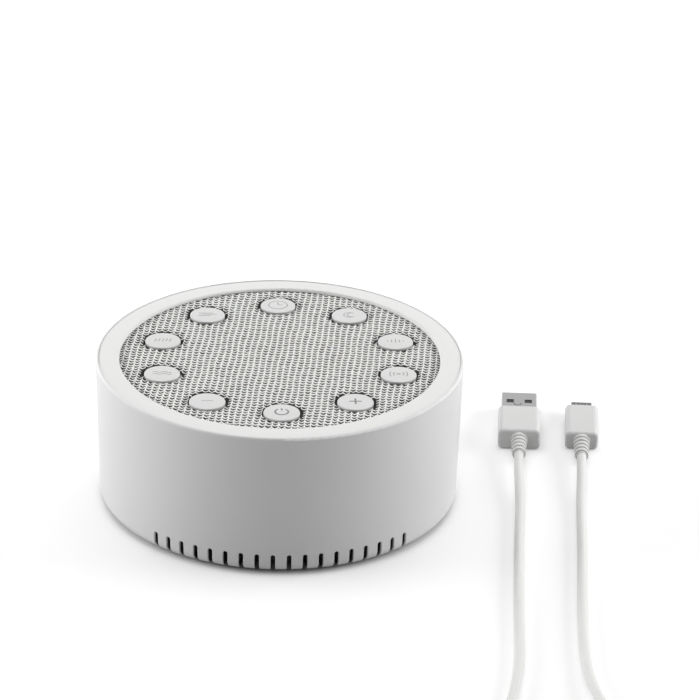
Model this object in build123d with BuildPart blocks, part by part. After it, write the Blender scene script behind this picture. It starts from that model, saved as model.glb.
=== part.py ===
from build123d import *

import os
from math import cos, pi, radians, sin, tan

os.makedirs("parts", exist_ok=True)

# White noise sound machine: a round moulded housing with a knitted cover over an upward
# speaker, ten keys in a ring, and a loose USB cable with a plug on each end.
# Millimetres. The origin is the middle of the footprint on the table, +Z is up, the power
# key is at the front (-Y) and the power socket at the back (+Y).

# ------------------------------------------------------------------ driving dimensions

# The sizes run from the speaker in the middle outwards: each ring of pieces is set by the one
# inside it and a named width or clearance.

# Housing
body_height = 49.2            # from the table to the top edge
rib_depth = 6.0               # from the ribs' inner edge to the outside, at the top edge
side_draft = 1.2              # the side leans in by this much on its way down
base_rounding = 3.0           # outer edge under the housing
lip_rounding = 0.8            # outer edge at the top
wall = 2.2
foot_gap = 1.0                # the housing stands this far off the table
base_margin = 5.0             # from the screw posts' axis to the edge of the base opening
base_thickness = 2.6

# Sound vents, cut round the lower front edge
vent_count = 18
vent_pitch = 5.0              # degrees
vent_width = 1.45
vent_top = 7.2                # height of a vent's rounded upper end
vent_margin = 2.0             # ring left between the vents and the base opening
vent_rounding = 0.25          # outer rims of the vents

# Bezel ring at the top
lip_width = 1.0               # housing lip left outside the ring
parting_gap = 0.12            # groove between the lip and the ring
bezel_margin = 12.05          # from the key circle to the ring's inner edge
bezel_depth = 2.4             # from the top edge down to the ledge that the ring sits on
bezel_inner_rounding = 0.8
bezel_inner_drop = 0.1        # the ring's crown falls by this much to its inner edge
bezel_outer_drop = 0.2        # and by this much to its outer edge
bezel_skirt = 1.25            # width of the ring's lower skirt

# Cover: knitted cloth on a perforated plate
cover_recess = 1.0            # cloth below the top edge
cloth_thickness = 0.7
grille_thickness = 2.0
cover_clearance = 0.3         # plate and cloth to the ring's skirt
hole_radius = 1.1
hole_spacing = 3.8
hole_rings = 7

# Ribs inside the wall that carry the plate
rib_clearance = 1.0           # ribs to the pillars
rib_width = 1.8
rib_above_vents = 4.5

# Keys
key_radius = 5.8
key_stand = 0.6               # key top above the cloth
key_crown = 0.2
key_edge = 0.25
key_gap = 0.4                 # key to the hole in the plate
cloth_gap = 0.6               # key to the hole in the cloth
key_wall = 1.0
key_roof = 1.7
key_flange = 1.2              # width of the collar that keeps a key in
key_flange_thickness = 1.2
key_lift_gap = 0.3            # collar to the underside of the plate
key_guide_gap = 0.4           # collar to its guide tube
key_guide_wall = 1.0
key_guide_depth = 3.0
key_stem_radius = 1.6
key_stem_reach = 1.7          # stem below the collar

# Push switches
switch_width = 6.0
switch_height = 3.5
plunger_radius = 1.6
plunger_stand = 1.5           # plunger above the switch body
plunger_length = 2.6
plunger_gap = 0.2
plunger_floor_gap = 1.0       # room under the plunger for its travel

# Circuit boards
board_thickness = 1.6
speaker_clearance = 1.5       # speaker's flange to the key board
key_inset = 7.15              # board's inner edge to the key circle
key_outset = 6.85             # key circle to the board's outer edge
key_board_standoff = 1.6
ribbon_inset = 2.5            # key board's inner edge to the ribbon
main_board_standoff = 3.0
standoff_radius = 3.0
main_board_length = 28.0
main_board_half_width = 22.0
socket_overhang = 3.3         # socket past the board's back edge
main_board_nose = 14.0        # half width at the back edge
main_board_corner = 9.0       # length of the cut corner along the board

# Chassis that carries the speaker and the key board
chassis_clearance = 0.4       # chassis to the housing's ribs
chassis_thickness = 2.0
post_offset = 4.85            # key circle to the screw posts' axes
post_radius = 3.2
pillar_clearance = 0.8        # key board to the grille's pillars
pillar_radius = 2.6

# Screws
screw_head_radius = 2.2
screw_head_height = 1.5
screw_shank_radius = 1.25
screw_length = 8.0
board_screw_head_radius = 2.0
board_screw_head_height = 1.3
board_screw_shank_radius = 1.0
board_screw_length = 4.4
thread_gap = 0.05             # shank to its pilot hole
screw_hole_gap = 0.3          # shank to a clearance hole
screw_recess_gap = 0.4        # head to its counterbore
screw_recess_depth = 1.6

# Speaker
basket_throat = 24.6          # inner radius at the flange
flange_width = 6.9
speaker_screw_inset = 4.2     # throat to the flange screws
speaker_boss_radius = 2.8
speaker_boss_length = 4.8
speaker_sheet = 1.0           # thickness of the pressed frame
gasket_thickness = 0.8
basket_depth = 12.1
basket_wall = 0.7             # radial thickness of the sloping side
basket_foot_wall = 0.9        # and of the lower step
basket_gap = 0.5              # basket to the hole in the chassis
spider_seat_height = 4.3      # seat above the bottom of the basket
spider_seat_inset = 4.4       # throat to the seat's outer edge
spider_seat_width = 2.8
basket_step = 0.8             # seat's inner edge to the basket's floor
cup_margin = 0.7              # bore of the top plate to the hole in the basket
top_plate_width = 9.3
top_plate_thickness = 3.0
magnet_width = 9.5
magnet_bore_step = 1.3        # bore of the top plate to the magnet's bore
magnet_thickness = 8.0
back_plate_thickness = 3.0
pole_radius = 7.3
coil_gap = 0.4                # pole to the former, and winding to the top plate
former_thickness = 0.3
winding_thickness = 0.35
winding_length = 3.2
former_tail = 0.4             # former below the winding
cone_neck_height = 6.5        # cone neck above the bottom of the basket
cone_slope = 0.5
cone_thickness = 0.6
cone_inset = 4.2              # throat to the cone's edge
cone_rim_width = 1.2
surround_thickness = 0.5
surround_overlap = 1.6        # surround on the flange, from the throat
surround_roll_overlap = 0.4   # its roll past the throat
spider_thickness = 0.4
spider_wave = 0.5
spider_waves = 4
dust_cap_overlap = 1.4        # cap past the former
dust_cap_rise = 2.4
dust_cap_thickness = 0.5
terminal_length = 6.5
terminal_width = 9.0
terminal_clearance = 0.2      # strip to the basket's step
tag_spacing = 4.8
tag_inset = 2.0               # solder tags to the strip's outer end

# Power socket in the back
socket_width = 7.5
socket_length = 5.6
socket_height = 2.6
socket_sheet = 0.3
socket_clearance = 0.5        # socket's mouth to the wall's inside
port_width = 9.2
port_height = 4.2
port_recess_width = 12.8
port_recess_height = 8.4
port_recess_depth = 1.0
port_recess_rounding = 1.5

# Feet and base
foot_radius = 6.0
foot_thickness = 2.0
foot_pocket_gap = 0.15
foot_offset = 4.0             # feet's centres inside the screw posts' axes
foot_edge = 0.3
base_clearance = 0.3
label_length = 34.0
label_width = 16.0
label_depth = 0.3

# USB cable
cable_diameter = 3.2
usb_a_place = (81.8, 29.6)    # back of the grip
usb_a_turn = -4.1             # degrees, from pointing straight back
usb_a_grip_size = (14.2, 18.8, 7.6)
usb_a_shell_size = (12.0, 12.7, 4.5)
usb_a_sheet = 0.3
usb_a_window = 2.5
usb_a_window_offset = 3.1
usb_a_window_setback = 6.4
micro_place = (103.0, 29.6)
micro_turn = -4.7
micro_grip_size = (11.2, 21.9, 6.6)
micro_shell_size = (6.85, 6.1, 1.8)
micro_shell_taper = 0.75
micro_sheet = 0.25
plug_pocket = 4.0             # the metal shells reach this far into the grips
grip_rounding = 1.8
grip_edge = 1.0
relief_length = 11.4
relief_start_radius = 2.9
relief_end_radius = 2.2
relief_ribs = 5
relief_rib_share = 0.62       # of each step, the rest being groove
relief_groove = 0.5
coil_centre = (80.0, -180.0)
coil_turns = 2.5              # turns side by side in each layer
coil_layers = 2
coil_pitch = 3.3
coil_mid_radius = 18.0

# ------------------------------------------------------------------ levels and radii

speaker_flange_radius = basket_throat + flange_width
speaker_screw_radius = basket_throat + speaker_screw_inset
chassis_opening = basket_throat + basket_wall + basket_gap
spider_seat_outer = basket_throat - spider_seat_inset
spider_seat_inner = spider_seat_outer - spider_seat_width
basket_floor_radius = spider_seat_inner - basket_step
cone_edge_radius = basket_throat - cone_inset
surround_outer_radius = basket_throat + surround_overlap
surround_roll_outer = basket_throat + surround_roll_overlap
former_inner_radius = pole_radius + coil_gap
former_outer_radius = former_inner_radius + former_thickness
winding_outer_radius = former_outer_radius + winding_thickness
top_plate_bore = winding_outer_radius + coil_gap
top_plate_radius = top_plate_bore + top_plate_width
cup_opening_radius = top_plate_bore + cup_margin
magnet_bore = top_plate_bore + magnet_bore_step
magnet_radius = magnet_bore + magnet_width
dust_cap_radius = former_outer_radius + dust_cap_overlap

key_board_inner_radius = speaker_flange_radius + speaker_clearance
key_circle_radius = key_board_inner_radius + key_inset
key_board_outer_radius = key_circle_radius + key_outset
post_circle_radius = key_circle_radius + post_offset
foot_circle_radius = post_circle_radius - foot_offset
base_opening_radius = post_circle_radius + base_margin
pillar_circle_radius = key_board_outer_radius + pillar_clearance + pillar_radius
rib_inner_radius = pillar_circle_radius + pillar_radius + rib_clearance
chassis_radius = rib_inner_radius - chassis_clearance
body_radius = rib_inner_radius + rib_depth
bezel_inner_radius = key_circle_radius + bezel_margin

floor_top = foot_gap + base_thickness
cloth_top = body_height - cover_recess
cloth_bottom = cloth_top - cloth_thickness
grille_bottom = cloth_bottom - grille_thickness
key_top = cloth_top + key_stand
key_flange_top = grille_bottom - key_lift_gap
key_flange_bottom = key_flange_top - key_flange_thickness
plunger_top = key_flange_bottom - key_stem_reach
switch_top = plunger_top - plunger_stand
key_board_top = switch_top - switch_height
key_board_bottom = key_board_top - board_thickness
chassis_top = key_board_bottom - key_board_standoff
chassis_bottom = chassis_top - chassis_thickness
frame_bottom = chassis_top + gasket_thickness
frame_top = frame_bottom + speaker_sheet
basket_bottom = frame_bottom - basket_depth
top_plate_bottom = basket_bottom - top_plate_thickness
magnet_bottom = top_plate_bottom - magnet_thickness
back_plate_bottom = magnet_bottom - back_plate_thickness
main_board_bottom = floor_top + main_board_standoff
main_board_top = main_board_bottom + board_thickness
socket_centre = main_board_top + socket_height / 2
ledge_height = body_height - bezel_depth

base_radius = body_radius - side_draft
lip_radius = body_radius - lip_width
bezel_outer_radius = lip_radius - parting_gap
skirt_inner_radius = bezel_outer_radius - bezel_skirt
cover_radius = skirt_inner_radius - cover_clearance
rib_bottom = vent_top + rib_above_vents
pilot_radius = screw_shank_radius + thread_gap
board_pilot_radius = board_screw_shank_radius + thread_gap
flange_radius = key_radius + key_flange
guide_bore_radius = flange_radius + key_guide_gap

# Keys clockwise from the front, one every 36 degrees; posts, pillars and ribs stand between.
key_names = [
    "power", "volume_down", "sound_1", "sound_2", "sound_3",
    "timer", "sound_4", "sound_5", "sound_6", "volume_up",
]
key_step = 360 / len(key_names)
front = -90
key_angles = [front - key_step * number for number in range(len(key_names))]
between_keys = [front + key_step * (number + 0.5) for number in range(len(key_names))]
post_angles = [36, 144, 216, 324]
pillar_angles = [angle for angle in between_keys if angle % 360 not in post_angles]
foot_angles = [0, 90, 180, 270]
speaker_screw_angles = [45, 135, 225, 315]
back = 90


def outer_radius(height):
    """Outside radius of the housing's side at a height."""
    return body_radius - side_draft * (body_height - height) / (body_height - foot_gap)


def inner_radius(height):
    """Inside radius of the housing's side at a height."""
    return outer_radius(height) - wall


def around(radius, height, angles):
    """Places on a circle about the vertical axis, each turned to face outwards."""
    return [
        Location((radius * cos(radians(a)), radius * sin(radians(a)), height), (0, 0, a))
        for a in angles
    ]


def half_section(*corners):
    """Closed outline for a revolve: (radius, height) corners, with a third value to round one."""
    with BuildSketch(Plane.XZ) as outline:
        with BuildLine():
            Polyline(*[corner[:2] for corner in corners], close=True)
        make_face()
        for x, z, *rounding in corners:
            if rounding:
                fillet(outline.vertices().sort_by_distance((x, z, 0))[0], rounding[0])
    return outline.sketch.face()


# ------------------------------------------------------------------ housing

# One vent's cutter: a slot that stands on the table and reaches out through the foot edge.
vent_root = base_opening_radius + vent_margin
vent_shoulder = vent_top - vent_width / 2
vent_angles = [front + vent_pitch * (n - (vent_count - 1) / 2) for n in range(vent_count)]

with BuildPart() as vent_cutter:
    with BuildSketch(Plane.YZ.offset(vent_root)):
        with Locations((0, vent_shoulder / 2)):
            Rectangle(vent_width, vent_shoulder)
        with Locations((0, vent_shoulder)):
            Circle(vent_width / 2)
    extrude(amount=body_radius - vent_root)

# The plain outside of the housing, by which the vents' outer rims are found.
with BuildPart() as outer_form:
    revolve(
        half_section(
            (0, foot_gap),
            (base_radius, foot_gap, base_rounding),
            (body_radius, body_height),
            (0, body_height),
        ),
        axis=Axis.Z,
    )


def on_outside(edge):
    """Whether the middle of an edge lies on the plain outside of the housing."""
    middle = edge @ 0.5
    return min(face.distance_to(middle) for face in outer_form.faces()) < 0.01


# Outer shell: one moulding, open at the top for the works and at the bottom for the base
# plate, with the vents, the socket's port, ribs for the grille and posts for the screws.
rib_outer_radius = inner_radius(rib_bottom) + wall / 2
rib_reach = rib_outer_radius - rib_inner_radius
web_outer_radius = inner_radius(floor_top) + wall / 2
web_reach = web_outer_radius - post_circle_radius

with BuildPart() as outer_shell:
    revolve(
        half_section(
            (base_opening_radius, foot_gap),
            (base_radius, foot_gap, base_rounding),
            (body_radius, body_height, lip_rounding),
            (lip_radius, body_height),
            (lip_radius, ledge_height),
            (inner_radius(ledge_height), ledge_height),
            (inner_radius(floor_top), floor_top, base_rounding - wall),
            (base_opening_radius, floor_top),
        ),
        axis=Axis.Z,
    )
    with Locations(*around(0, 0, vent_angles)):
        add(vent_cutter.part, mode=Mode.SUBTRACT)
    fillet(outer_shell.edges(Select.LAST).filter_by(on_outside), vent_rounding)
    with Locations(*around(rib_inner_radius, rib_bottom, between_keys)):
        Box(
            rib_reach, rib_width, grille_bottom - rib_bottom,
            align=(Align.MIN, Align.CENTER, Align.MIN),
        )
    with Locations(*around(post_circle_radius, floor_top, post_angles)):
        Cylinder(
            post_radius, chassis_bottom - floor_top,
            align=(Align.CENTER, Align.CENTER, Align.MIN),
        )
        Box(
            web_reach, rib_width, chassis_bottom - floor_top,
            align=(Align.MIN, Align.CENTER, Align.MIN),
        )
    with Locations(*around(post_circle_radius, floor_top, post_angles)):
        Cylinder(
            pilot_radius, screw_length,
            align=(Align.CENTER, Align.CENTER, Align.MIN), mode=Mode.SUBTRACT,
        )
    with Locations(*around(post_circle_radius, chassis_bottom, post_angles)):
        Cylinder(
            pilot_radius, screw_length,
            align=(Align.CENTER, Align.CENTER, Align.MAX), mode=Mode.SUBTRACT,
        )
    recess_floor = outer_radius(socket_centre) - port_recess_depth
    with BuildSketch(Plane.XZ.offset(-recess_floor)):
        with Locations((0, socket_centre)):
            RectangleRounded(port_recess_width, port_recess_height, port_recess_rounding)
    extrude(amount=-wall * 2, mode=Mode.SUBTRACT)
    with BuildSketch(Plane.XZ.offset(-recess_floor)):
        with Locations((0, socket_centre)):
            SlotOverall(port_width, port_height)
    extrude(amount=wall * 2, mode=Mode.SUBTRACT)
outer_shell.part.label = "outer_shell"
export_step(outer_shell.part, "parts/outer_shell.step")

# Top ring: a separate glossy moulding that traps the cloth's edge and stands on the ledge.
crown_radius = (bezel_inner_radius + bezel_outer_radius) / 2

with BuildPart() as top_ring:
    with BuildSketch(Plane.XZ) as ring_section:
        with BuildLine():
            ThreePointArc(
                (bezel_inner_radius, body_height - bezel_inner_drop),
                (crown_radius, body_height),
                (bezel_outer_radius, body_height - bezel_outer_drop),
            )
            Polyline(
                (bezel_outer_radius, body_height - bezel_outer_drop),
                (bezel_outer_radius, ledge_height),
                (skirt_inner_radius, ledge_height),
                (skirt_inner_radius, cloth_top),
                (bezel_inner_radius, cloth_top),
                (bezel_inner_radius, body_height - bezel_inner_drop),
            )
        make_face()
        inner_corner = (bezel_inner_radius, body_height - bezel_inner_drop, 0)
        fillet(
            ring_section.vertices().sort_by_distance(inner_corner)[0], bezel_inner_rounding
        )
    revolve(axis=Axis.Z)
top_ring.part.label = "top_ring"
export_step(top_ring.part, "parts/top_ring.step")

# Speaker grille: perforated plate under the cloth, with a guide tube for each key and
# pillars that stand on the chassis.
with BuildPart() as speaker_grille:
    with Locations((0, 0, grille_bottom)):
        Cylinder(
            cover_radius, grille_thickness, align=(Align.CENTER, Align.CENTER, Align.MIN)
        )
    with Locations(*around(key_circle_radius, grille_bottom, key_angles)):
        Cylinder(
            guide_bore_radius + key_guide_wall, key_guide_depth,
            align=(Align.CENTER, Align.CENTER, Align.MAX),
        )
    with Locations(*around(key_circle_radius, grille_bottom, key_angles)):
        Cylinder(
            guide_bore_radius, key_guide_depth,
            align=(Align.CENTER, Align.CENTER, Align.MAX), mode=Mode.SUBTRACT,
        )
        Cylinder(
            key_radius + key_gap, grille_thickness,
            align=(Align.CENTER, Align.CENTER, Align.MIN), mode=Mode.SUBTRACT,
        )
    with Locations(*around(pillar_circle_radius, chassis_top, pillar_angles)):
        Cylinder(
            pillar_radius, grille_bottom - chassis_top,
            align=(Align.CENTER, Align.CENTER, Align.MIN),
        )
    with Locations(*around(pillar_circle_radius, chassis_top, pillar_angles)):
        Cylinder(
            pilot_radius, screw_length,
            align=(Align.CENTER, Align.CENTER, Align.MIN), mode=Mode.SUBTRACT,
        )
    perforations = [Location((0, 0, grille_bottom))]
    for ring in range(1, hole_rings + 1):
        turns = [60 / ring * number for number in range(6 * ring)]
        perforations += around(hole_spacing * ring, grille_bottom, turns)
    with Locations(*perforations):
        Cylinder(
            hole_radius, grille_thickness,
            align=(Align.CENTER, Align.CENTER, Align.MIN), mode=Mode.SUBTRACT,
        )
speaker_grille.part.label = "speaker_grille"
export_step(speaker_grille.part, "parts/speaker_grille.step")

# Knitted cloth, stretched over the plate and trapped by the ring.
with BuildPart() as speaker_cloth:
    with Locations((0, 0, cloth_bottom)):
        Cylinder(
            cover_radius, cloth_thickness, align=(Align.CENTER, Align.CENTER, Align.MIN)
        )
    with Locations(*around(key_circle_radius, cloth_bottom, key_angles)):
        Cylinder(
            key_radius + cloth_gap, cloth_thickness,
            align=(Align.CENTER, Align.CENTER, Align.MIN), mode=Mode.SUBTRACT,
        )
speaker_cloth.part.label = "speaker_cloth"
export_step(speaker_cloth.part, "parts/speaker_cloth.step")

# ------------------------------------------------------------------ keys and switches

# One key: a hollow round cap, a collar that stays under the plate, and a stem.
with BuildPart() as key:
    with BuildSketch(Plane.XZ) as key_section:
        with BuildLine():
            TangentArc((0, key_top), (key_radius, key_top - key_crown), tangent=(1, 0))
            Polyline(
                (key_radius, key_top - key_crown),
                (key_radius, key_flange_top),
                (flange_radius, key_flange_top),
                (flange_radius, key_flange_bottom),
                (key_radius - key_wall, key_flange_bottom),
                (key_radius - key_wall, key_top - key_roof),
                (key_stem_radius, key_top - key_roof),
                (key_stem_radius, plunger_top),
                (0, plunger_top),
                (0, key_top),
            )
        make_face()
        top_edge = (key_radius, key_top - key_crown, 0)
        fillet(key_section.vertices().sort_by_distance(top_edge)[0], key_edge)
    revolve(axis=Axis.Z)

for name, angle in zip(key_names, key_angles):
    with BuildPart() as placed_key:
        with Locations(*around(key_circle_radius, 0, [angle])):
            add(key.part)
    placed_key.part.label = f"button_{name}"
    export_step(placed_key.part, f"parts/button_{name}.step")

    with BuildPart() as plunger:
        with Locations(*around(key_circle_radius, plunger_top, [angle])):
            Cylinder(
                plunger_radius, plunger_length,
                align=(Align.CENTER, Align.CENTER, Align.MAX),
            )
    plunger.part.label = f"switch_plunger_{name}"
    export_step(plunger.part, f"parts/switch_plunger_{name}.step")

# Switch bodies, soldered to the key board, each with a well for its plunger.
well_depth = plunger_length - plunger_stand + plunger_floor_gap

with BuildPart() as switch_bodies:
    with Locations(*around(key_circle_radius, key_board_top, key_angles)):
        Box(
            switch_width, switch_width, switch_height,
            align=(Align.CENTER, Align.CENTER, Align.MIN),
        )
    chamfer(switch_bodies.edges().filter_by(Axis.Z), switch_width / 12)
    with Locations(*around(key_circle_radius, switch_top, key_angles)):
        Cylinder(
            plunger_radius + plunger_gap, well_depth,
            align=(Align.CENTER, Align.CENTER, Align.MAX), mode=Mode.SUBTRACT,
        )
switch_bodies.part.label = "switch_bodies"
export_step(switch_bodies.part, "parts/switch_bodies.step")

# Key board: a ring of circuit board on the chassis, notched round the chassis screws.
with BuildPart() as key_board:
    with BuildSketch(Plane.XY.offset(key_board_bottom)):
        Circle(key_board_outer_radius)
        Circle(key_board_inner_radius, mode=Mode.SUBTRACT)
        with Locations(*around(key_circle_radius, 0, pillar_angles)):
            Circle(board_screw_shank_radius + screw_hole_gap, mode=Mode.SUBTRACT)
        with Locations(*around(post_circle_radius, 0, post_angles)):
            Circle(screw_head_radius + screw_recess_gap, mode=Mode.SUBTRACT)
    extrude(amount=board_thickness)
key_board.part.label = "key_board"
export_step(key_board.part, "parts/key_board.step")

# ------------------------------------------------------------------ chassis

ribbon_place = key_board_inner_radius + ribbon_inset
connector_width = 12.0
connector_depth = 3.2
board_plug_height = 3.4
key_plug_height = 2.4
slot_gap = 1.0

with BuildPart() as inner_chassis:
    with BuildSketch(Plane.XY.offset(chassis_bottom)):
        Circle(chassis_radius)
        Circle(chassis_opening, mode=Mode.SUBTRACT)
        with Locations((0, ribbon_place)):
            Rectangle(
                connector_width + 2 * slot_gap, connector_depth + 2 * slot_gap,
                mode=Mode.SUBTRACT,
            )
    extrude(amount=chassis_thickness)
    with Locations(*around(key_circle_radius, chassis_top, pillar_angles)):
        Cylinder(
            standoff_radius, key_board_standoff,
            align=(Align.CENTER, Align.CENTER, Align.MIN),
        )
    with Locations(*around(speaker_screw_radius, chassis_bottom, speaker_screw_angles)):
        Cylinder(
            speaker_boss_radius, speaker_boss_length,
            align=(Align.CENTER, Align.CENTER, Align.MAX),
        )
    with Locations(*around(key_circle_radius, key_board_bottom, pillar_angles)):
        Cylinder(
            board_pilot_radius, key_board_standoff + chassis_thickness,
            align=(Align.CENTER, Align.CENTER, Align.MAX), mode=Mode.SUBTRACT,
        )
    with Locations(*around(speaker_screw_radius, chassis_top, speaker_screw_angles)):
        Cylinder(
            pilot_radius, chassis_thickness + speaker_boss_length,
            align=(Align.CENTER, Align.CENTER, Align.MAX), mode=Mode.SUBTRACT,
        )
    with Locations(
        *around(post_circle_radius, chassis_top, post_angles),
        *around(pillar_circle_radius, chassis_top, pillar_angles),
    ):
        Cylinder(
            screw_shank_radius + screw_hole_gap, chassis_thickness,
            align=(Align.CENTER, Align.CENTER, Align.MAX), mode=Mode.SUBTRACT,
        )
inner_chassis.part.label = "inner_chassis"
export_step(inner_chassis.part, "parts/inner_chassis.step")

# ------------------------------------------------------------------ speaker

with BuildPart() as speaker_gasket:
    with BuildSketch(Plane.XY.offset(chassis_top)):
        Circle(speaker_flange_radius)
        Circle(chassis_opening, mode=Mode.SUBTRACT)
        with Locations(*around(speaker_screw_radius, 0, speaker_screw_angles)):
            Circle(screw_shank_radius + screw_hole_gap, mode=Mode.SUBTRACT)
    extrude(amount=gasket_thickness)
speaker_gasket.part.label = "speaker_gasket"
export_step(speaker_gasket.part, "parts/speaker_gasket.step")

# Pressed frame: flange, sloping basket with four windows, seat for the spider, and floor.
seat_top = basket_bottom + spider_seat_height
window_height = (frame_bottom + seat_top) / 2

with BuildPart() as speaker_frame:
    revolve(
        half_section(
            (cup_opening_radius, basket_bottom),
            (cup_opening_radius, basket_bottom + speaker_sheet),
            (basket_floor_radius, basket_bottom + speaker_sheet),
            (spider_seat_inner, seat_top),
            (spider_seat_outer, seat_top),
            (basket_throat, frame_top),
            (speaker_flange_radius, frame_top),
            (speaker_flange_radius, frame_bottom),
            (basket_throat + basket_wall, frame_bottom),
            (spider_seat_outer + basket_wall, seat_top - speaker_sheet),
            (spider_seat_inner + basket_foot_wall, seat_top - speaker_sheet),
            (basket_floor_radius + basket_foot_wall, basket_bottom),
        ),
        axis=Axis.Z,
    )
    with Locations(*around(basket_throat, window_height, [0, 90, 180, 270])):
        Box(
            basket_throat / 2, basket_throat * 0.8, (frame_bottom - seat_top) * 0.6,
            mode=Mode.SUBTRACT,
        )
    with Locations(*around(speaker_screw_radius, frame_bottom, speaker_screw_angles)):
        Cylinder(
            screw_shank_radius + screw_hole_gap, speaker_sheet,
            align=(Align.CENTER, Align.CENTER, Align.MIN), mode=Mode.SUBTRACT,
        )
speaker_frame.part.label = "speaker_frame"
export_step(speaker_frame.part, "parts/speaker_frame.step")

with BuildPart() as magnet_top_plate:
    with BuildSketch(Plane.XY.offset(top_plate_bottom)):
        Circle(top_plate_radius)
        Circle(top_plate_bore, mode=Mode.SUBTRACT)
    extrude(amount=top_plate_thickness)
magnet_top_plate.part.label = "magnet_top_plate"
export_step(magnet_top_plate.part, "parts/magnet_top_plate.step")

with BuildPart() as speaker_magnet:
    with BuildSketch(Plane.XY.offset(magnet_bottom)):
        Circle(magnet_radius)
        Circle(magnet_bore, mode=Mode.SUBTRACT)
    extrude(amount=magnet_thickness)
speaker_magnet.part.label = "speaker_magnet"
export_step(speaker_magnet.part, "parts/speaker_magnet.step")

with BuildPart() as magnet_back_plate:
    with BuildSketch(Plane.XY.offset(back_plate_bottom)):
        Circle(top_plate_radius)
    extrude(amount=back_plate_thickness)
    with BuildSketch(Plane.XY.offset(magnet_bottom)):
        Circle(pole_radius)
    extrude(amount=magnet_thickness + top_plate_thickness)
magnet_back_plate.part.label = "magnet_back_plate"
export_step(magnet_back_plate.part, "parts/magnet_back_plate.step")

# Cone: paper, glued to the former at its neck and to the surround at its rim.
neck_height = basket_bottom + cone_neck_height
cone_rise = cone_slope * (cone_edge_radius - former_outer_radius)
cone_rim_top = neck_height + cone_rise + cone_thickness

with BuildPart() as speaker_cone:
    revolve(
        half_section(
            (former_outer_radius, neck_height),
            (cone_edge_radius, neck_height + cone_rise),
            (cone_edge_radius + cone_rim_width, neck_height + cone_rise),
            (cone_edge_radius + cone_rim_width, cone_rim_top),
            (cone_edge_radius, cone_rim_top),
            (former_outer_radius, neck_height + cone_thickness),
        ),
        axis=Axis.Z,
    )
speaker_cone.part.label = "speaker_cone"
export_step(speaker_cone.part, "parts/speaker_cone.step")

# Voice coil: a paper former with its copper winding in the magnet's gap.
winding_bottom = top_plate_bottom + (top_plate_thickness - winding_length) / 2

with BuildPart() as voice_coil:
    revolve(
        half_section(
            (former_inner_radius, winding_bottom - former_tail),
            (former_outer_radius, winding_bottom - former_tail),
            (former_outer_radius, winding_bottom),
            (winding_outer_radius, winding_bottom),
            (winding_outer_radius, winding_bottom + winding_length),
            (former_outer_radius, winding_bottom + winding_length),
            (former_outer_radius, neck_height + cone_thickness),
            (former_inner_radius, neck_height + cone_thickness),
        ),
        axis=Axis.Z,
    )
voice_coil.part.label = "voice_coil"
export_step(voice_coil.part, "parts/voice_coil.step")

# Dust cap: a thin dome glued on the cone over the former.
cap_foot = neck_height + cone_thickness + cone_slope * (dust_cap_radius - former_outer_radius)
cap_top = cap_foot + dust_cap_rise
cap_bore = dust_cap_radius - dust_cap_thickness

with BuildPart() as dust_cap:
    with BuildSketch(Plane.XZ):
        with BuildLine():
            TangentArc((0, cap_top), (dust_cap_radius, cap_foot), tangent=(1, 0))
            Line((dust_cap_radius, cap_foot), (cap_bore, cap_foot))
            TangentArc(
                (0, cap_top - dust_cap_thickness), (cap_bore, cap_foot), tangent=(1, 0)
            )
            Line((0, cap_top - dust_cap_thickness), (0, cap_top))
        make_face()
    revolve(axis=Axis.Z)
dust_cap.part.label = "dust_cap"
export_step(dust_cap.part, "parts/dust_cap.step")

# Surround: a rubber half roll from the flange to the cone's rim.
cone_rim_radius = cone_edge_radius + cone_rim_width
roll_centre = (surround_roll_outer + cone_rim_radius) / 2
roll_radius = (surround_roll_outer - cone_rim_radius) / 2
roll_base = max(frame_top, cone_rim_top)
roll_bore = roll_radius - surround_thickness

with BuildPart() as speaker_surround:
    with BuildSketch(Plane.XZ):
        with BuildLine():
            ThreePointArc(
                (roll_centre - roll_radius, roll_base),
                (roll_centre, roll_base + roll_radius),
                (roll_centre + roll_radius, roll_base),
            )
            Line(
                (roll_centre + roll_radius, roll_base), (roll_centre + roll_bore, roll_base)
            )
            ThreePointArc(
                (roll_centre + roll_bore, roll_base),
                (roll_centre, roll_base + roll_bore),
                (roll_centre - roll_bore, roll_base),
            )
            Line(
                (roll_centre - roll_bore, roll_base), (roll_centre - roll_radius, roll_base)
            )
        make_face()
    revolve(axis=Axis.Z)
    revolve(
        half_section(
            (roll_centre + roll_bore, frame_top),
            (surround_outer_radius, frame_top),
            (surround_outer_radius, roll_base + surround_thickness),
            (roll_centre + roll_bore, roll_base + surround_thickness),
        ),
        axis=Axis.Z,
    )
    revolve(
        half_section(
            (cone_edge_radius, cone_rim_top),
            (roll_centre - roll_bore, cone_rim_top),
            (roll_centre - roll_bore, roll_base + surround_thickness),
            (cone_edge_radius, roll_base + surround_thickness),
        ),
        axis=Axis.Z,
    )
speaker_surround.part.label = "speaker_surround"
export_step(speaker_surround.part, "parts/speaker_surround.step")

# Spider: a corrugated cloth disc from its seat to the former.
spider_level = seat_top + spider_wave / 2
spider_inner = former_outer_radius + thread_gap
wave_step = (spider_seat_inner - spider_inner) / (2 * spider_waves)
crests = [
    (spider_inner + wave_step * number, spider_level + spider_wave * (-1) ** number)
    for number in range(2 * spider_waves)
]

with BuildPart() as speaker_spider:
    revolve(
        half_section(
            *[(radius, height) for radius, height in crests],
            (spider_seat_inner, seat_top),
            (spider_seat_outer - basket_wall, seat_top),
            (spider_seat_outer - basket_wall, seat_top + spider_thickness),
            (spider_seat_inner, seat_top + spider_thickness),
            *[(radius, height + spider_thickness) for radius, height in reversed(crests)],
        ),
        axis=Axis.Z,
    )
speaker_spider.part.label = "speaker_spider"
export_step(speaker_spider.part, "parts/speaker_spider.step")

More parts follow.
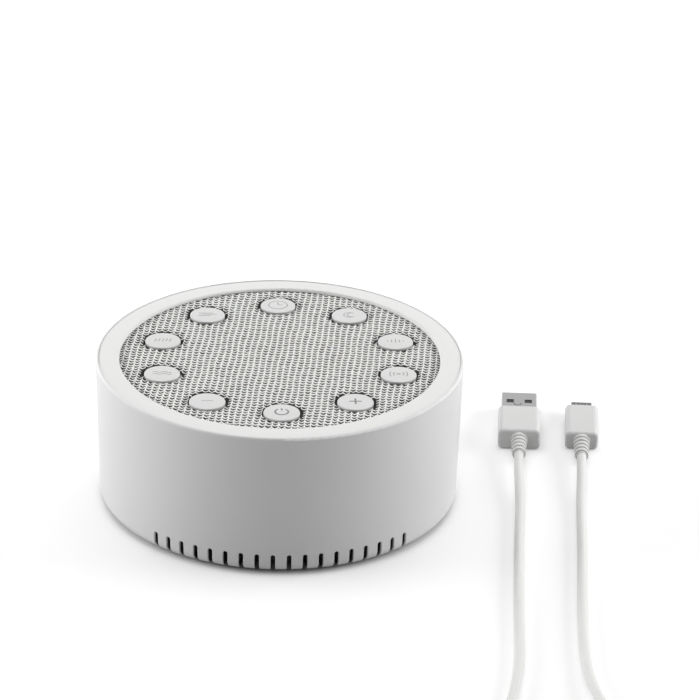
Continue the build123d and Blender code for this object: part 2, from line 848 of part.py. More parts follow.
# Terminal strip under the spider's seat, with two solder tags.
terminal_angle = 135
terminal_inner = spider_seat_inner + basket_foot_wall + terminal_clearance
terminal_top = seat_top - speaker_sheet
tag_radius = terminal_inner + terminal_length - tag_inset

with BuildPart() as speaker_terminals:
    with Locations(*around(terminal_inner, terminal_top, [terminal_angle])):
        Box(
            terminal_length, terminal_width, speaker_sheet,
            align=(Align.MIN, Align.CENTER, Align.MAX),
        )
speaker_terminals.part.label = "speaker_terminals"
export_step(speaker_terminals.part, "parts/speaker_terminals.step")

# ------------------------------------------------------------------ main board

socket_mouth = inner_radius(socket_centre) - socket_clearance
main_board_back = socket_mouth - socket_overhang
main_board_front = main_board_back - main_board_length


def on_board(*places):
    """Places on the main board, given by X and by the distance in from its back edge."""
    return [(x, main_board_back - inset) for x, inset in places]


board_screw_places = on_board((-18.5, 12.0), (18.5, 12.0), (-9.0, 23.5), (9.0, 23.5))
speaker_plug_place, = on_board((-17.0, 21.5))
speaker_plug_size = (6.0, 4.0, 3.6)
sound_chip_place, amplifier_place, inductor_place = on_board(
    (0.0, 9.0), (-11.0, 15.0), (-10.5, 7.5)
)
sound_chip_size = (7.0, 7.0, 1.0)
amplifier_size = (5.0, 4.0, 1.5)
inductor_size = (6.0, 6.0, 3.2)
capacitor_places = on_board((12.2, 17.5), (18.4, 22.0), (11.0, 7.5))
capacitor_radius = 3.15
capacitor_height = 7.7

with BuildPart() as main_board:
    with BuildSketch(Plane.XY.offset(main_board_bottom)):
        with BuildLine():
            Polyline(
                (-main_board_half_width, main_board_front),
                (main_board_half_width, main_board_front),
                (main_board_half_width, main_board_back - main_board_corner),
                (main_board_nose, main_board_back),
                (-main_board_nose, main_board_back),
                (-main_board_half_width, main_board_back - main_board_corner),
                close=True,
            )
        make_face()
        with Locations(*board_screw_places):
            Circle(board_screw_shank_radius + screw_hole_gap, mode=Mode.SUBTRACT)
    extrude(amount=board_thickness)
main_board.part.label = "main_board"
export_step(main_board.part, "parts/main_board.step")

with BuildPart() as board_components:
    for (x, y), size in (
        (sound_chip_place, sound_chip_size),
        (amplifier_place, amplifier_size),
        (inductor_place, inductor_size),
    ):
        with Locations((x, y, main_board_top)):
            Box(*size, align=(Align.CENTER, Align.CENTER, Align.MIN))
    with Locations(*[(x, y, main_board_top) for x, y in capacitor_places]):
        Cylinder(
            capacitor_radius, capacitor_height,
            align=(Align.CENTER, Align.CENTER, Align.MIN),
        )
board_components.part.label = "board_components"
export_step(board_components.part, "parts/board_components.step")

# White plugs: one under the key board, one for the ribbon and one for the speaker wires.
with BuildPart() as board_connectors:
    with Locations((0, ribbon_place, key_board_bottom)):
        Box(
            connector_width, connector_depth, key_plug_height,
            align=(Align.CENTER, Align.CENTER, Align.MAX),
        )
    with Locations((0, ribbon_place, main_board_top)):
        Box(
            connector_width, connector_depth, board_plug_height,
            align=(Align.CENTER, Align.CENTER, Align.MIN),
        )
    with Locations((*speaker_plug_place, main_board_top)):
        Box(*speaker_plug_size, align=(Align.CENTER, Align.CENTER, Align.MIN))
board_connectors.part.label = "board_connectors"
export_step(board_connectors.part, "parts/board_connectors.step")

# Power socket: a folded metal box on the board's back edge, open towards the port.
tongue_thickness = 0.6

with BuildPart() as usb_socket:
    with Locations((0, socket_mouth, main_board_top)):
        Box(
            socket_width, socket_length, socket_height,
            align=(Align.CENTER, Align.MAX, Align.MIN),
        )
    fillet(usb_socket.edges().filter_by(Axis.Y), socket_sheet * 2)
    with Locations((0, socket_mouth, socket_centre)):
        Box(
            socket_width - 2 * socket_sheet, socket_length - socket_sheet,
            socket_height - 2 * socket_sheet,
            align=(Align.CENTER, Align.MAX, Align.CENTER), mode=Mode.SUBTRACT,
        )
    with Locations((0, socket_mouth - socket_length + socket_sheet / 2, socket_centre)):
        Box(
            socket_width / 2, socket_length - 2 * socket_sheet, tongue_thickness,
            align=(Align.CENTER, Align.MIN, Align.CENTER),
        )
usb_socket.part.label = "usb_socket"
export_step(usb_socket.part, "parts/usb_socket.step")

# ------------------------------------------------------------------ inside wiring

ribbon_top = key_board_bottom - key_plug_height
ribbon_foot = main_board_top + board_plug_height
ribbon_bulge = 3.5
ribbon_third = (ribbon_top - ribbon_foot) / 3
ribbon_width = 10.0
ribbon_thickness = 0.8

with BuildPart() as ribbon_cable:
    with BuildSketch(Plane.YZ):
        with BuildLine():
            FilletPolyline(
                (ribbon_place, ribbon_top),
                (ribbon_place, ribbon_top - ribbon_third * 0.6),
                (ribbon_place + ribbon_bulge, ribbon_foot + ribbon_third * 1.5),
                (ribbon_place, ribbon_foot + ribbon_third * 0.6),
                (ribbon_place, ribbon_foot),
                radius=ribbon_third / 2,
            )
        trace(line_width=ribbon_thickness)
    extrude(amount=ribbon_width / 2, both=True)
ribbon_cable.part.label = "ribbon_cable"
export_step(ribbon_cable.part, "parts/ribbon_cable.step")


def bend_radii(points):
    """The largest radius for each corner of a route: 0.45 of its shorter run, each side."""
    corners = [Vector(*point) for point in points]
    radii = []
    for before, here, after in zip(corners, corners[1:], corners[2:]):
        half_turn = radians((here - before).get_angle(after - here)) / 2
        shorter = min((here - before).length, (after - here).length)
        radii.append(0.45 * shorter / tan(half_turn))
    return radii


def report_cord(label, points, part, diameter):
    """Print a cord's arc radii and its volume against section times length."""
    with BuildLine() as route:
        FilletPolyline(*points, radius=bend_radii(points))
    length = sum(edge.length for edge in route.edges())
    expected = pi * diameter**2 / 4 * length
    radii = " ".join(f"{radius:.1f}" for radius in bend_radii(points))
    print(f"{label}: length {length:.1f}, radii {radii}, volume ratio {part.volume / expected:.4f}")


speaker_wire_diameter = 1.4
plug_top = main_board_top + speaker_plug_size[2]
tag_bottom = terminal_top - speaker_sheet

for colour, side in (("red", -1), ("black", 1)):
    tag = Vector(tag_radius, side * tag_spacing / 2, tag_bottom)
    tag_x, tag_y, _ = tag.rotate(Axis.Z, terminal_angle)
    plug_x = speaker_plug_place[0] - side
    plug_y = speaker_plug_place[1]
    drop = tag_bottom - plug_top
    wire_points = [
        (tag_x, tag_y, tag_bottom),
        (tag_x, tag_y, tag_bottom - drop * 0.3),
        ((tag_x + plug_x) / 2 - 0.4, (tag_y + plug_y) / 2, tag_bottom - drop * 0.55),
        (plug_x, plug_y, plug_top + drop * 0.25),
        (plug_x, plug_y, plug_top),
    ]
    with BuildPart() as speaker_wire:
        with BuildLine() as wire_line:
            FilletPolyline(*wire_points, radius=bend_radii(wire_points))
        with BuildSketch(Plane(origin=wire_line.line @ 0, z_dir=wire_line.line % 0)):
            Circle(speaker_wire_diameter / 2)
        sweep()
    speaker_wire.part.label = f"speaker_wire_{colour}"
    export_step(speaker_wire.part, f"parts/speaker_wire_{colour}.step")

# ------------------------------------------------------------------ base, feet and screws

recess_radius = screw_head_radius + screw_recess_gap
pocket_top = foot_thickness

with BuildPart() as base_plate:
    with BuildSketch(Plane.XY.offset(foot_gap)):
        Circle(base_opening_radius - base_clearance)
    extrude(amount=base_thickness)
    with Locations(*[(x, y, floor_top) for x, y in board_screw_places]):
        Cylinder(
            standoff_radius, main_board_standoff,
            align=(Align.CENTER, Align.CENTER, Align.MIN),
        )
    with Locations(*[(x, y, main_board_bottom) for x, y in board_screw_places]):
        Cylinder(
            board_pilot_radius, board_screw_length - board_thickness,
            align=(Align.CENTER, Align.CENTER, Align.MAX), mode=Mode.SUBTRACT,
        )
    with Locations(*around(foot_circle_radius, foot_gap, foot_angles)):
        Cylinder(
            foot_radius + foot_pocket_gap, pocket_top - foot_gap,
            align=(Align.CENTER, Align.CENTER, Align.MIN), mode=Mode.SUBTRACT,
        )
    with Locations(*around(post_circle_radius, foot_gap, post_angles)):
        Cylinder(
            recess_radius, screw_recess_depth,
            align=(Align.CENTER, Align.CENTER, Align.MIN), mode=Mode.SUBTRACT,
        )
        Cylinder(
            screw_shank_radius + screw_hole_gap, base_thickness,
            align=(Align.CENTER, Align.CENTER, Align.MIN), mode=Mode.SUBTRACT,
        )
    with BuildSketch(Plane.XY.offset(foot_gap)):
        RectangleRounded(label_length, label_width, label_width / 8)
    extrude(amount=label_depth, mode=Mode.SUBTRACT)
base_plate.part.label = "base_plate"
export_step(base_plate.part, "parts/base_plate.step")

with BuildPart() as rubber_feet:
    with Locations(*around(foot_circle_radius, 0, foot_angles)):
        Cylinder(foot_radius, foot_thickness, align=(Align.CENTER, Align.CENTER, Align.MIN))
    fillet(rubber_feet.faces().sort_by(Axis.Z)[: len(foot_angles)].edges(), foot_edge)
rubber_feet.part.label = "rubber_feet"
export_step(rubber_feet.part, "parts/rubber_feet.step")


def pan_screw(head_radius, head_height, shank_radius, length):
    """A pan-head screw that points down from the origin, with a cross recess."""
    with BuildPart() as screw:
        Cylinder(head_radius, head_height, align=(Align.CENTER, Align.CENTER, Align.MIN))
        fillet(screw.edges().sort_by(Axis.Z)[-1], head_height / 3)
        Cylinder(shank_radius, length, align=(Align.CENTER, Align.CENTER, Align.MAX))
        chamfer(screw.edges().sort_by(Axis.Z)[0], shank_radius / 2)
        with Locations((0, 0, head_height)):
            for turn in (0, 90):
                Box(
                    head_radius, head_radius / 5, head_height / 2,
                    rotation=(0, 0, turn), mode=Mode.SUBTRACT,
                )
    return screw.part


def upside_down(places):
    """The same places with the piece turned over."""
    return [place * Location((0, 0, 0), (180, 0, 0)) for place in places]


housing_screw = pan_screw(
    screw_head_radius, screw_head_height, screw_shank_radius, screw_length - thread_gap
)
recess_roof = foot_gap + screw_recess_depth

with BuildPart() as housing_screws:
    with Locations(
        *upside_down(around(post_circle_radius, recess_roof, post_angles)),
        *around(post_circle_radius, chassis_top, post_angles),
        *upside_down(around(pillar_circle_radius, chassis_bottom, pillar_angles)),
        *around(speaker_screw_radius, frame_top, speaker_screw_angles),
    ):
        add(housing_screw)
housing_screws.part.label = "housing_screws"
export_step(housing_screws.part, "parts/housing_screws.step")

board_screw = pan_screw(
    board_screw_head_radius, board_screw_head_height, board_screw_shank_radius,
    board_screw_length - thread_gap,
)

with BuildPart() as board_screws:
    with Locations(
        *around(key_circle_radius, key_board_top, pillar_angles),
        *[Location((x, y, main_board_top)) for x, y in board_screw_places],
    ):
        add(board_screw)
board_screws.part.label = "board_screws"
export_step(board_screws.part, "parts/board_screws.step")

# ------------------------------------------------------------------ USB cable

# A plug is drawn lying along +Y, tip forward, with its origin where the strain relief
# meets the back of the grip, and is then laid in its place.


def plug_grip(size, opening):
    """Moulded grip with a ribbed, tapering strain relief and a pocket for the metal shell."""
    width, length, thickness = size
    with BuildPart() as grip:
        Box(width, length, thickness, align=(Align.CENTER, Align.MIN, Align.CENTER))
        fillet(grip.edges().filter_by(Axis.Y), grip_rounding)
        fillet(grip.faces().filter_by(Axis.Y).edges(), grip_edge)
        step = relief_length / relief_ribs
        slope = (relief_start_radius - relief_end_radius) / relief_length
        outline = [(0, 0)]
        for rib in range(relief_ribs):
            near, far = rib * step, (rib + relief_rib_share) * step
            outline.append((relief_start_radius - slope * near, -near))
            outline.append((relief_start_radius - slope * far, -far))
            outline.append((relief_start_radius - slope * far - relief_groove, -far))
            after = (rib + 1) * step
            outline.append((relief_start_radius - slope * after - relief_groove, -after))
        outline.append((0, -relief_length))
        with BuildSketch(Plane.XY):
            with BuildLine():
                Polyline(*outline, close=True)
            make_face()
        revolve(axis=Axis.Y)
        with BuildSketch(Plane.XZ.offset(-length)):
            add(opening)
        extrude(amount=plug_pocket, mode=Mode.SUBTRACT)
    return grip.part


def laid(place, turn, thickness):
    """Where a plug of this thickness lies on the table."""
    return Location((*place, thickness / 2), (0, 0, turn))


a_width, a_length, a_height = usb_a_shell_size
with BuildSketch() as a_outline:
    RectangleRounded(a_width, a_height, 2 * usb_a_sheet)
with BuildSketch() as a_bore:
    RectangleRounded(a_width - 2 * usb_a_sheet, a_height - 2 * usb_a_sheet, usb_a_sheet)
a_laid = laid(usb_a_place, usb_a_turn, usb_a_grip_size[2])
a_mouth = usb_a_grip_size[1]

usb_a_grip_shape = plug_grip(usb_a_grip_size, a_outline.sketch)
with BuildPart() as usb_a_grip:
    with Locations(a_laid):
        add(usb_a_grip_shape)
usb_a_grip.part.label = "usb_a_grip"
export_step(usb_a_grip.part, "parts/usb_a_grip.step")

with BuildPart() as usb_a_shell_shape:
    with BuildSketch(Plane.XZ.offset(-(a_mouth - plug_pocket))):
        add(a_outline.sketch)
        add(a_bore.sketch, mode=Mode.SUBTRACT)
    extrude(amount=-(a_length + plug_pocket))
    window_y = a_mouth + a_length - usb_a_window_setback
    with Locations((-usb_a_window_offset, window_y), (usb_a_window_offset, window_y)):
        Box(usb_a_window, usb_a_window, a_height * 2, mode=Mode.SUBTRACT)
with BuildPart() as usb_a_shell:
    with Locations(a_laid):
        add(usb_a_shell_shape.part)
usb_a_shell.part.label = "usb_a_shell"
export_step(usb_a_shell.part, "parts/usb_a_shell.step")

# Plastic core of the big plug: a block at the back of the shell and a tongue below.
bore_width = a_width - 2 * usb_a_sheet
bore_height = a_height - 2 * usb_a_sheet
core_back = a_mouth - plug_pocket
tongue_setback = 0.8

with BuildPart() as usb_a_insert_shape:
    with Locations((0, core_back, 0)):
        Box(
            bore_width - usb_a_sheet, plug_pocket, bore_height - usb_a_sheet,
            align=(Align.CENTER, Align.MIN, Align.CENTER),
        )
    with Locations((0, core_back, -bore_height / 2 + usb_a_sheet / 2)):
        Box(
            bore_width - usb_a_sheet, plug_pocket + a_length - tongue_setback,
            bore_height / 2 - usb_a_sheet,
            align=(Align.CENTER, Align.MIN, Align.MIN),
        )
with BuildPart() as usb_a_insert:
    with Locations(a_laid):
        add(usb_a_insert_shape.part)
usb_a_insert.part.label = "usb_a_insert"
export_step(usb_a_insert.part, "parts/usb_a_insert.step")

m_width, m_length, m_height = micro_shell_size


def micro_outline(inset):
    """The small plug's section: flat on one side, with both corners cut on the other."""
    half, rise = m_width / 2 - inset, m_height / 2 - inset
    taper = micro_shell_taper - inset * 0.4
    with BuildSketch() as outline:
        with BuildLine():
            Polyline(
                (-half, rise), (half, rise), (half, 0),
                (half - taper, -rise), (taper - half, -rise), (-half, 0),
                close=True,
            )
        make_face()
    return outline.sketch


m_laid = laid(micro_place, micro_turn, micro_grip_size[2])
m_mouth = micro_grip_size[1]

micro_usb_grip_shape = plug_grip(micro_grip_size, micro_outline(0))
with BuildPart() as micro_usb_grip:
    with Locations(m_laid):
        add(micro_usb_grip_shape)
micro_usb_grip.part.label = "micro_usb_grip"
export_step(micro_usb_grip.part, "parts/micro_usb_grip.step")

with BuildPart() as micro_usb_shell_shape:
    with BuildSketch(Plane.XZ.offset(-(m_mouth - plug_pocket))):
        add(micro_outline(0))
        add(micro_outline(micro_sheet), mode=Mode.SUBTRACT)
    extrude(amount=-(m_length + plug_pocket))
with BuildPart() as micro_usb_shell:
    with Locations(m_laid):
        add(micro_usb_shell_shape.part)
micro_usb_shell.part.label = "micro_usb_shell"
export_step(micro_usb_shell.part, "parts/micro_usb_shell.step")

with BuildPart() as micro_usb_core_shape:
    with BuildSketch(Plane.XZ.offset(-(m_mouth - plug_pocket))):
        add(micro_outline(micro_sheet + 0.05))
    extrude(amount=-plug_pocket)
with BuildPart() as micro_usb_core:
    with Locations(m_laid):
        add(micro_usb_core_shape.part)
micro_usb_core.part.label = "micro_usb_core"
export_step(micro_usb_core.part, "parts/micro_usb_core.step")

# Cord: two leads on the table and a neat coil of the rest. The points are chosen by hand.
cord_radius = cable_diameter / 2
cord_floor = cord_radius + 0.05
coil_half_width = coil_pitch * coil_turns / 2 + cord_radius + 0.1
coil_height = coil_pitch * (coil_layers - 1) + 2 * cord_floor
coil_outer_track = coil_mid_radius + coil_pitch * coil_turns / 2
coil_x, coil_y = coil_centre


def straight_behind(place, turn, thickness):
    """The first run of a lead, straight out of a plug's strain relief."""
    tip = (place[0], place[1], thickness / 2)
    return [
        tuple(Vector(*tip) - Vector(0, distance, 0).rotate(Axis.Z, turn))
        for distance in (relief_length, relief_length + straight_run)
    ]


straight_run = 12.0

lead_a_points = [
    *straight_behind(usb_a_place, usb_a_turn, usb_a_grip_size[2]),
    (79.4, -13.0, cord_floor + 0.1),
    (76.9, -42.0, cord_floor),
    (74.0, -82.0, cord_floor),
    (71.9, -120.0, cord_floor),
    (65.3, -151.0, cord_floor),
    (coil_x - coil_outer_track, coil_y, cord_floor),
]
lead_b_points = [
    *straight_behind(micro_place, micro_turn, micro_grip_size[2]),
    (99.2, -13.0, cord_floor + 0.1),
    (97.2, -44.0, cord_floor),
    (93.6, -84.0, cord_floor),
    (91.4, -121.0, cord_floor),
    (96.0, -152.0, cord_floor + 2.0),
    (coil_x + coil_outer_track, coil_y, cord_floor + coil_pitch),
]

for end, points in (("a", lead_a_points), ("b", lead_b_points)):
    with BuildPart() as cable_lead:
        with BuildLine() as lead_line:
            FilletPolyline(*points, radius=bend_radii(points))
        with BuildSketch(Plane(origin=lead_line.line @ 0, z_dir=lead_line.line % 0)):
            Circle(cord_radius)
        sweep()
    report_cord(f"cable_lead_{end}", points, cable_lead.part, cable_diameter)
    cable_lead.part.label = f"cable_lead_{end}"
    export_step(cable_lead.part, f"parts/cable_lead_{end}.step")

with BuildPart() as cable_coil:
    with BuildSketch(Plane.XZ.offset(-coil_y)) as coil_section:
        with Locations((coil_x + coil_mid_radius, coil_height / 2)):
            RectangleRounded(2 * coil_half_width, coil_height, cord_radius)
    revolve(axis=Axis((coil_x, coil_y, 0), (0, 0, 1)))
cable_coil.part.label = "cable_coil"
export_step(cable_coil.part, "parts/cable_coil.step")
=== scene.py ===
import math
import random

import bpy
from mathutils import Matrix, Vector


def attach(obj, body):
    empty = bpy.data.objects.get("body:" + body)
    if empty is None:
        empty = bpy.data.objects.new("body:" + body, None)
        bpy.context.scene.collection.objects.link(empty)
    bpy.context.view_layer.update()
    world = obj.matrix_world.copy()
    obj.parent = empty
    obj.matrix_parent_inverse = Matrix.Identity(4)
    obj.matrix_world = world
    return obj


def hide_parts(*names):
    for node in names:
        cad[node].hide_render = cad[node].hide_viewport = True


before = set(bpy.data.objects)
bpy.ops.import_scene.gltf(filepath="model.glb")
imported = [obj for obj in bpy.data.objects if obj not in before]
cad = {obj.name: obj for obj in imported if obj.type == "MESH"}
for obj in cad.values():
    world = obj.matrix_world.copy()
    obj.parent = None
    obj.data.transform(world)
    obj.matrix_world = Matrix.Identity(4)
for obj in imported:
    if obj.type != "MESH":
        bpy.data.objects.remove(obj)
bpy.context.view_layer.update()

scene = bpy.context.scene
scene.view_settings.view_transform = "Standard"
MM = 0.001


# The camera stands in front of the machine and a little above it, and looks down into the ring
# of keys. The machine sits left of the middle, with its cable lying on the right.
aim = Vector((0, 0, 30 * MM))
camera_distance = 1.270         # in metres
camera_height_angle = 0.4608    # in radians, as the next two are
camera_side_angle = -0.0206
camera_roll = 0.0132
camera_lens = 199.3
camera_sensor = 36
camera_shift = (0.1012, 0.0834)

backward = Vector((
    math.sin(camera_side_angle) * math.cos(camera_height_angle),
    -math.cos(camera_side_angle) * math.cos(camera_height_angle),
    math.sin(camera_height_angle),
))
level_right = Vector((0, 0, 1)).cross(backward).normalized()
level_up = backward.cross(level_right)
right = level_right * math.cos(camera_roll) + level_up * math.sin(camera_roll)
up = level_up * math.cos(camera_roll) - level_right * math.sin(camera_roll)

bpy.ops.object.select_all(action="DESELECT")
bpy.ops.object.camera_add()
camera = bpy.context.object
camera.name = "camera"
turned = Matrix((right, up, backward)).transposed().to_4x4()
camera.matrix_world = Matrix.Translation(aim + backward * camera_distance) @ turned
camera.data.lens = camera_lens
camera.data.sensor_width = camera_sensor
camera.data.shift_x, camera.data.shift_y = camera_shift
scene.camera = camera


# The cord is soft white PVC, 3.2 mm thick and about 1 m long. It leaves the relief of the big
# plug, runs forward on the table, is wound up in two layers of turns, and comes back to the
# small plug.
cord_radius = 1.6
big_plug_run = [
    (80.985, 18.229, 3.8), (80.127, 6.260, 3.8), (79.4, -13, 1.75), (76.9, -42, 1.65),
    (74.0, -82, 1.65), (71.9, -120, 1.65), (65.3, -151, 1.65), (57.875, -180, 1.65),
]
small_plug_run = [
    (102.066, 18.238, 3.3), (101.083, 6.279, 3.3), (99.2, -13, 1.75), (97.2, -44, 1.65),
    (93.6, -84, 1.65), (91.4, -121, 1.65), (96.0, -152, 3.65), (102.125, -180, 4.95),
]
winding_centre = (80, -180)
winding_outer = 22.125
winding_inner = 13.875
lower_layer = 1.65
upper_layer = 4.95
points_per_turn = 24
turns_each_layer = 2.5
turns_between = 0.5


def metres(sizes):
    """Turns sizes in millimetres into metres."""
    return [size * MM for size in sizes]


steps_each_layer = round(turns_each_layer * points_per_turn)
steps_between = round(turns_between * points_per_turn)
all_steps = 2 * steps_each_layer + steps_between
route = list(big_plug_run)
for step in range(1, all_steps):
    if step <= steps_each_layer:
        share = step / steps_each_layer
        radius = winding_outer + (winding_inner - winding_outer) * share
        height = lower_layer
    elif step <= steps_each_layer + steps_between:
        share = (step - steps_each_layer) / steps_between
        radius = winding_inner
        height = lower_layer + (upper_layer - lower_layer) * share
    else:
        share = (step - steps_each_layer - steps_between) / steps_each_layer
        radius = winding_inner + (winding_outer - winding_inner) * share
        height = upper_layer
    angle = math.pi + 2 * math.pi * step / points_per_turn
    x = winding_centre[0] + radius * math.cos(angle)
    y = winding_centre[1] + radius * math.sin(angle)
    route.append((x, y, height))
route += reversed(small_plug_run)

cord_line = bpy.data.curves.new("usb_cord", "CURVE")
cord_line.dimensions = "3D"
cord_line.bevel_depth = cord_radius * MM
cord_line.bevel_resolution = 4
cord_line.use_fill_caps = True
spline = cord_line.splines.new("NURBS")
spline.points.add(len(route) - 1)
for point, place in zip(spline.points, route):
    point.co = (*metres(place), 1)
spline.order_u = 3
spline.use_endpoint_u = True
spline.resolution_u = 6
cord = bpy.data.objects.new("usb_cord", cord_line)
scene.collection.objects.link(cord)


def add_node(tree, kind, values=None, **settings):
    """A new node, with its settings, and the values of those inputs that nothing feeds."""
    node = tree.nodes.new(kind)
    for name, value in settings.items():
        setattr(node, name, value)
    for socket, value in (values or {}).items():
        node.inputs[socket].default_value = value
    return node


def moulded_group():
    """A moulded surface: faint mottling of the colour, uneven gloss, and a fine grain."""
    tree = bpy.data.node_groups.new("moulded_surface", "ShaderNodeTree")
    sockets = tree.interface
    sockets.new_socket("Colour", in_out="INPUT", socket_type="NodeSocketColor")
    for name in ("Mottling", "Roughness", "Uneven", "Grain"):
        sockets.new_socket(name, in_out="INPUT", socket_type="NodeSocketFloat")
    sockets.new_socket("Colour", in_out="OUTPUT", socket_type="NodeSocketColor")
    for name in ("Roughness", "Height"):
        sockets.new_socket(name, in_out="OUTPUT", socket_type="NodeSocketFloat")
    source = add_node(tree, "NodeGroupInput")
    result = add_node(tree, "NodeGroupOutput")
    coords = add_node(tree, "ShaderNodeTexCoord")
    cloudy = add_node(tree, "ShaderNodeTexNoise", {"Scale": 70, "Detail": 3})
    centred = add_node(tree, "ShaderNodeMath", {1: 0.5}, operation="SUBTRACT")
    strength = add_node(tree, "ShaderNodeMath", {2: 1.0}, operation="MULTIPLY_ADD")
    shaded = add_node(tree, "ShaderNodeVectorMath", operation="SCALE")
    gloss = add_node(tree, "ShaderNodeMath", operation="MULTIPLY_ADD")
    grain = add_node(tree, "ShaderNodeTexNoise", {"Detail": 2})
    links = tree.links
    links.new(coords.outputs["Object"], cloudy.inputs["Vector"])
    links.new(cloudy.outputs["Fac"], centred.inputs[0])
    links.new(centred.outputs[0], strength.inputs[0])
    links.new(source.outputs["Mottling"], strength.inputs[1])
    links.new(source.outputs["Colour"], shaded.inputs[0])
    links.new(strength.outputs[0], shaded.inputs["Scale"])
    links.new(shaded.outputs["Vector"], result.inputs["Colour"])
    links.new(centred.outputs[0], gloss.inputs[0])
    links.new(source.outputs["Uneven"], gloss.inputs[1])
    links.new(source.outputs["Roughness"], gloss.inputs[2])
    links.new(gloss.outputs[0], result.inputs["Roughness"])
    links.new(coords.outputs["Object"], grain.inputs["Vector"])
    links.new(source.outputs["Grain"], grain.inputs["Scale"])
    links.new(grain.outputs["Fac"], result.inputs["Height"])
    return tree


moulded_surface = moulded_group()


def moulding(name, colour, roughness, mottling=0.04, uneven=0.12, grain=2500, depth=0.01,
             metallic=0.0, coat=0.0):
    """A material of one moulded, pressed or painted finish. Depth is the grain's, in mm."""
    material = bpy.data.materials.new(name)
    material.use_nodes = True
    tree = material.node_tree
    shader = tree.nodes["Principled BSDF"]
    shader.inputs["Metallic"].default_value = metallic
    shader.inputs["Coat Weight"].default_value = coat
    shader.inputs["Coat Roughness"].default_value = 0.12
    surface = add_node(tree, "ShaderNodeGroup", {
        "Colour": (*colour, 1), "Mottling": mottling, "Roughness": roughness,
        "Uneven": uneven, "Grain": grain,
    }, node_tree=moulded_surface)
    bump = add_node(tree, "ShaderNodeBump", {"Distance": depth * MM})
    links = tree.links
    links.new(surface.outputs["Colour"], shader.inputs["Base Color"])
    links.new(surface.outputs["Roughness"], shader.inputs["Roughness"])
    links.new(surface.outputs["Height"], bump.inputs["Height"])
    links.new(bump.outputs["Normal"], shader.inputs["Normal"])
    return material


def finish(material, *pieces):
    """Gives new pieces, and CAD nodes by their names, one material all over."""
    for piece in pieces:
        shape = cad[piece].data if isinstance(piece, str) else piece.data
        shape.materials.clear()
        shape.materials.append(material)


finish(moulding("white_pvc", (0.80, 0.80, 0.785), 0.42, grain=900, depth=0.02), cord)
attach(cord, "housing")
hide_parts("cable_lead_a", "cable_lead_b", "cable_coil")


# A white hook-and-loop strap goes once round the winding and closes over its own end on top. It
# pinches the turns together.
strap_middle = 18.0             # from the winding's centre to the middle of its turns
strap_size = (11.5, 4.4, 7.1)   # across the turns, along them, and upwards
strap_corner = 1.3
strap_corner_steps = 5
strap_thickness = 0.5
strap_tab = (6.6, 3.8, 0.4)
strap_tab_shift = 1.6
strap_tab_sink = 0.05
strap_soft_edge = 0.15
strap_direction = math.radians(-60)
sharp_from = math.radians(40)


def modify(piece, kind, **settings):
    """Adds one modifier to the active piece and applies it."""
    modifier = piece.modifiers.new(kind.lower(), kind)
    for name, value in settings.items():
        setattr(modifier, name, value)
    bpy.ops.object.modifier_apply(modifier=modifier.name)


def settle(piece, place, turn):
    """Lays the active piece in its place, in mm and radians, and puts that into its mesh."""
    piece.matrix_world = Matrix.Translation(metres(place)) @ Matrix.Rotation(turn, 4, "Z")
    bpy.ops.object.transform_apply(location=True, rotation=True, scale=True)


bpy.ops.object.select_all(action="DESELECT")
bpy.ops.mesh.primitive_plane_add(
    size=1, rotation=(math.pi / 2, 0, 0),
    location=metres((strap_middle, strap_size[1] / 2, strap_size[2] / 2)),
)
strap = bpy.context.object
strap.name = "winding_strap"
strap.scale = (strap_size[0] * MM, strap_size[2] * MM, 1)
bpy.ops.object.transform_apply(location=True, rotation=True, scale=True)
bpy.ops.object.mode_set(mode="EDIT")
bpy.ops.mesh.select_all(action="SELECT")
bpy.ops.mesh.bevel(offset=strap_corner * MM, segments=strap_corner_steps, affect="VERTICES")
bpy.ops.mesh.select_all(action="SELECT")
bpy.ops.mesh.delete(type="ONLY_FACE")
bpy.ops.mesh.select_all(action="SELECT")
bpy.ops.mesh.extrude_edges_move(
    TRANSFORM_OT_translate={"value": (0, -strap_size[1] * MM, 0)}
)
bpy.ops.mesh.select_all(action="SELECT")
bpy.ops.mesh.normals_make_consistent(inside=False)
bpy.ops.object.mode_set(mode="OBJECT")
modify(strap, "SOLIDIFY", thickness=strap_thickness * MM, offset=-1)

tab_height = strap_size[2] + strap_tab[2] / 2 - strap_tab_sink
bpy.ops.object.select_all(action="DESELECT")
bpy.ops.mesh.primitive_cube_add(
    size=1, scale=metres(strap_tab),
    location=metres((strap_middle + strap_tab_shift, 0, tab_height)),
)
strap.select_set(True)
bpy.context.view_layer.objects.active = strap
bpy.ops.object.join()
bpy.ops.object.transform_apply(location=True, rotation=True, scale=True)
modify(strap, "BEVEL", width=strap_soft_edge * MM, segments=2, limit_method="ANGLE")
settle(strap, (*winding_centre, 0), strap_direction)
bpy.ops.object.shade_smooth_by_angle(angle=sharp_from)
strap_white = moulding("strap_white", (0.74, 0.74, 0.73), 0.85, mottling=0.12, grain=1600,
                       depth=0.12)
finish(strap_white, strap)
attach(strap, "housing")


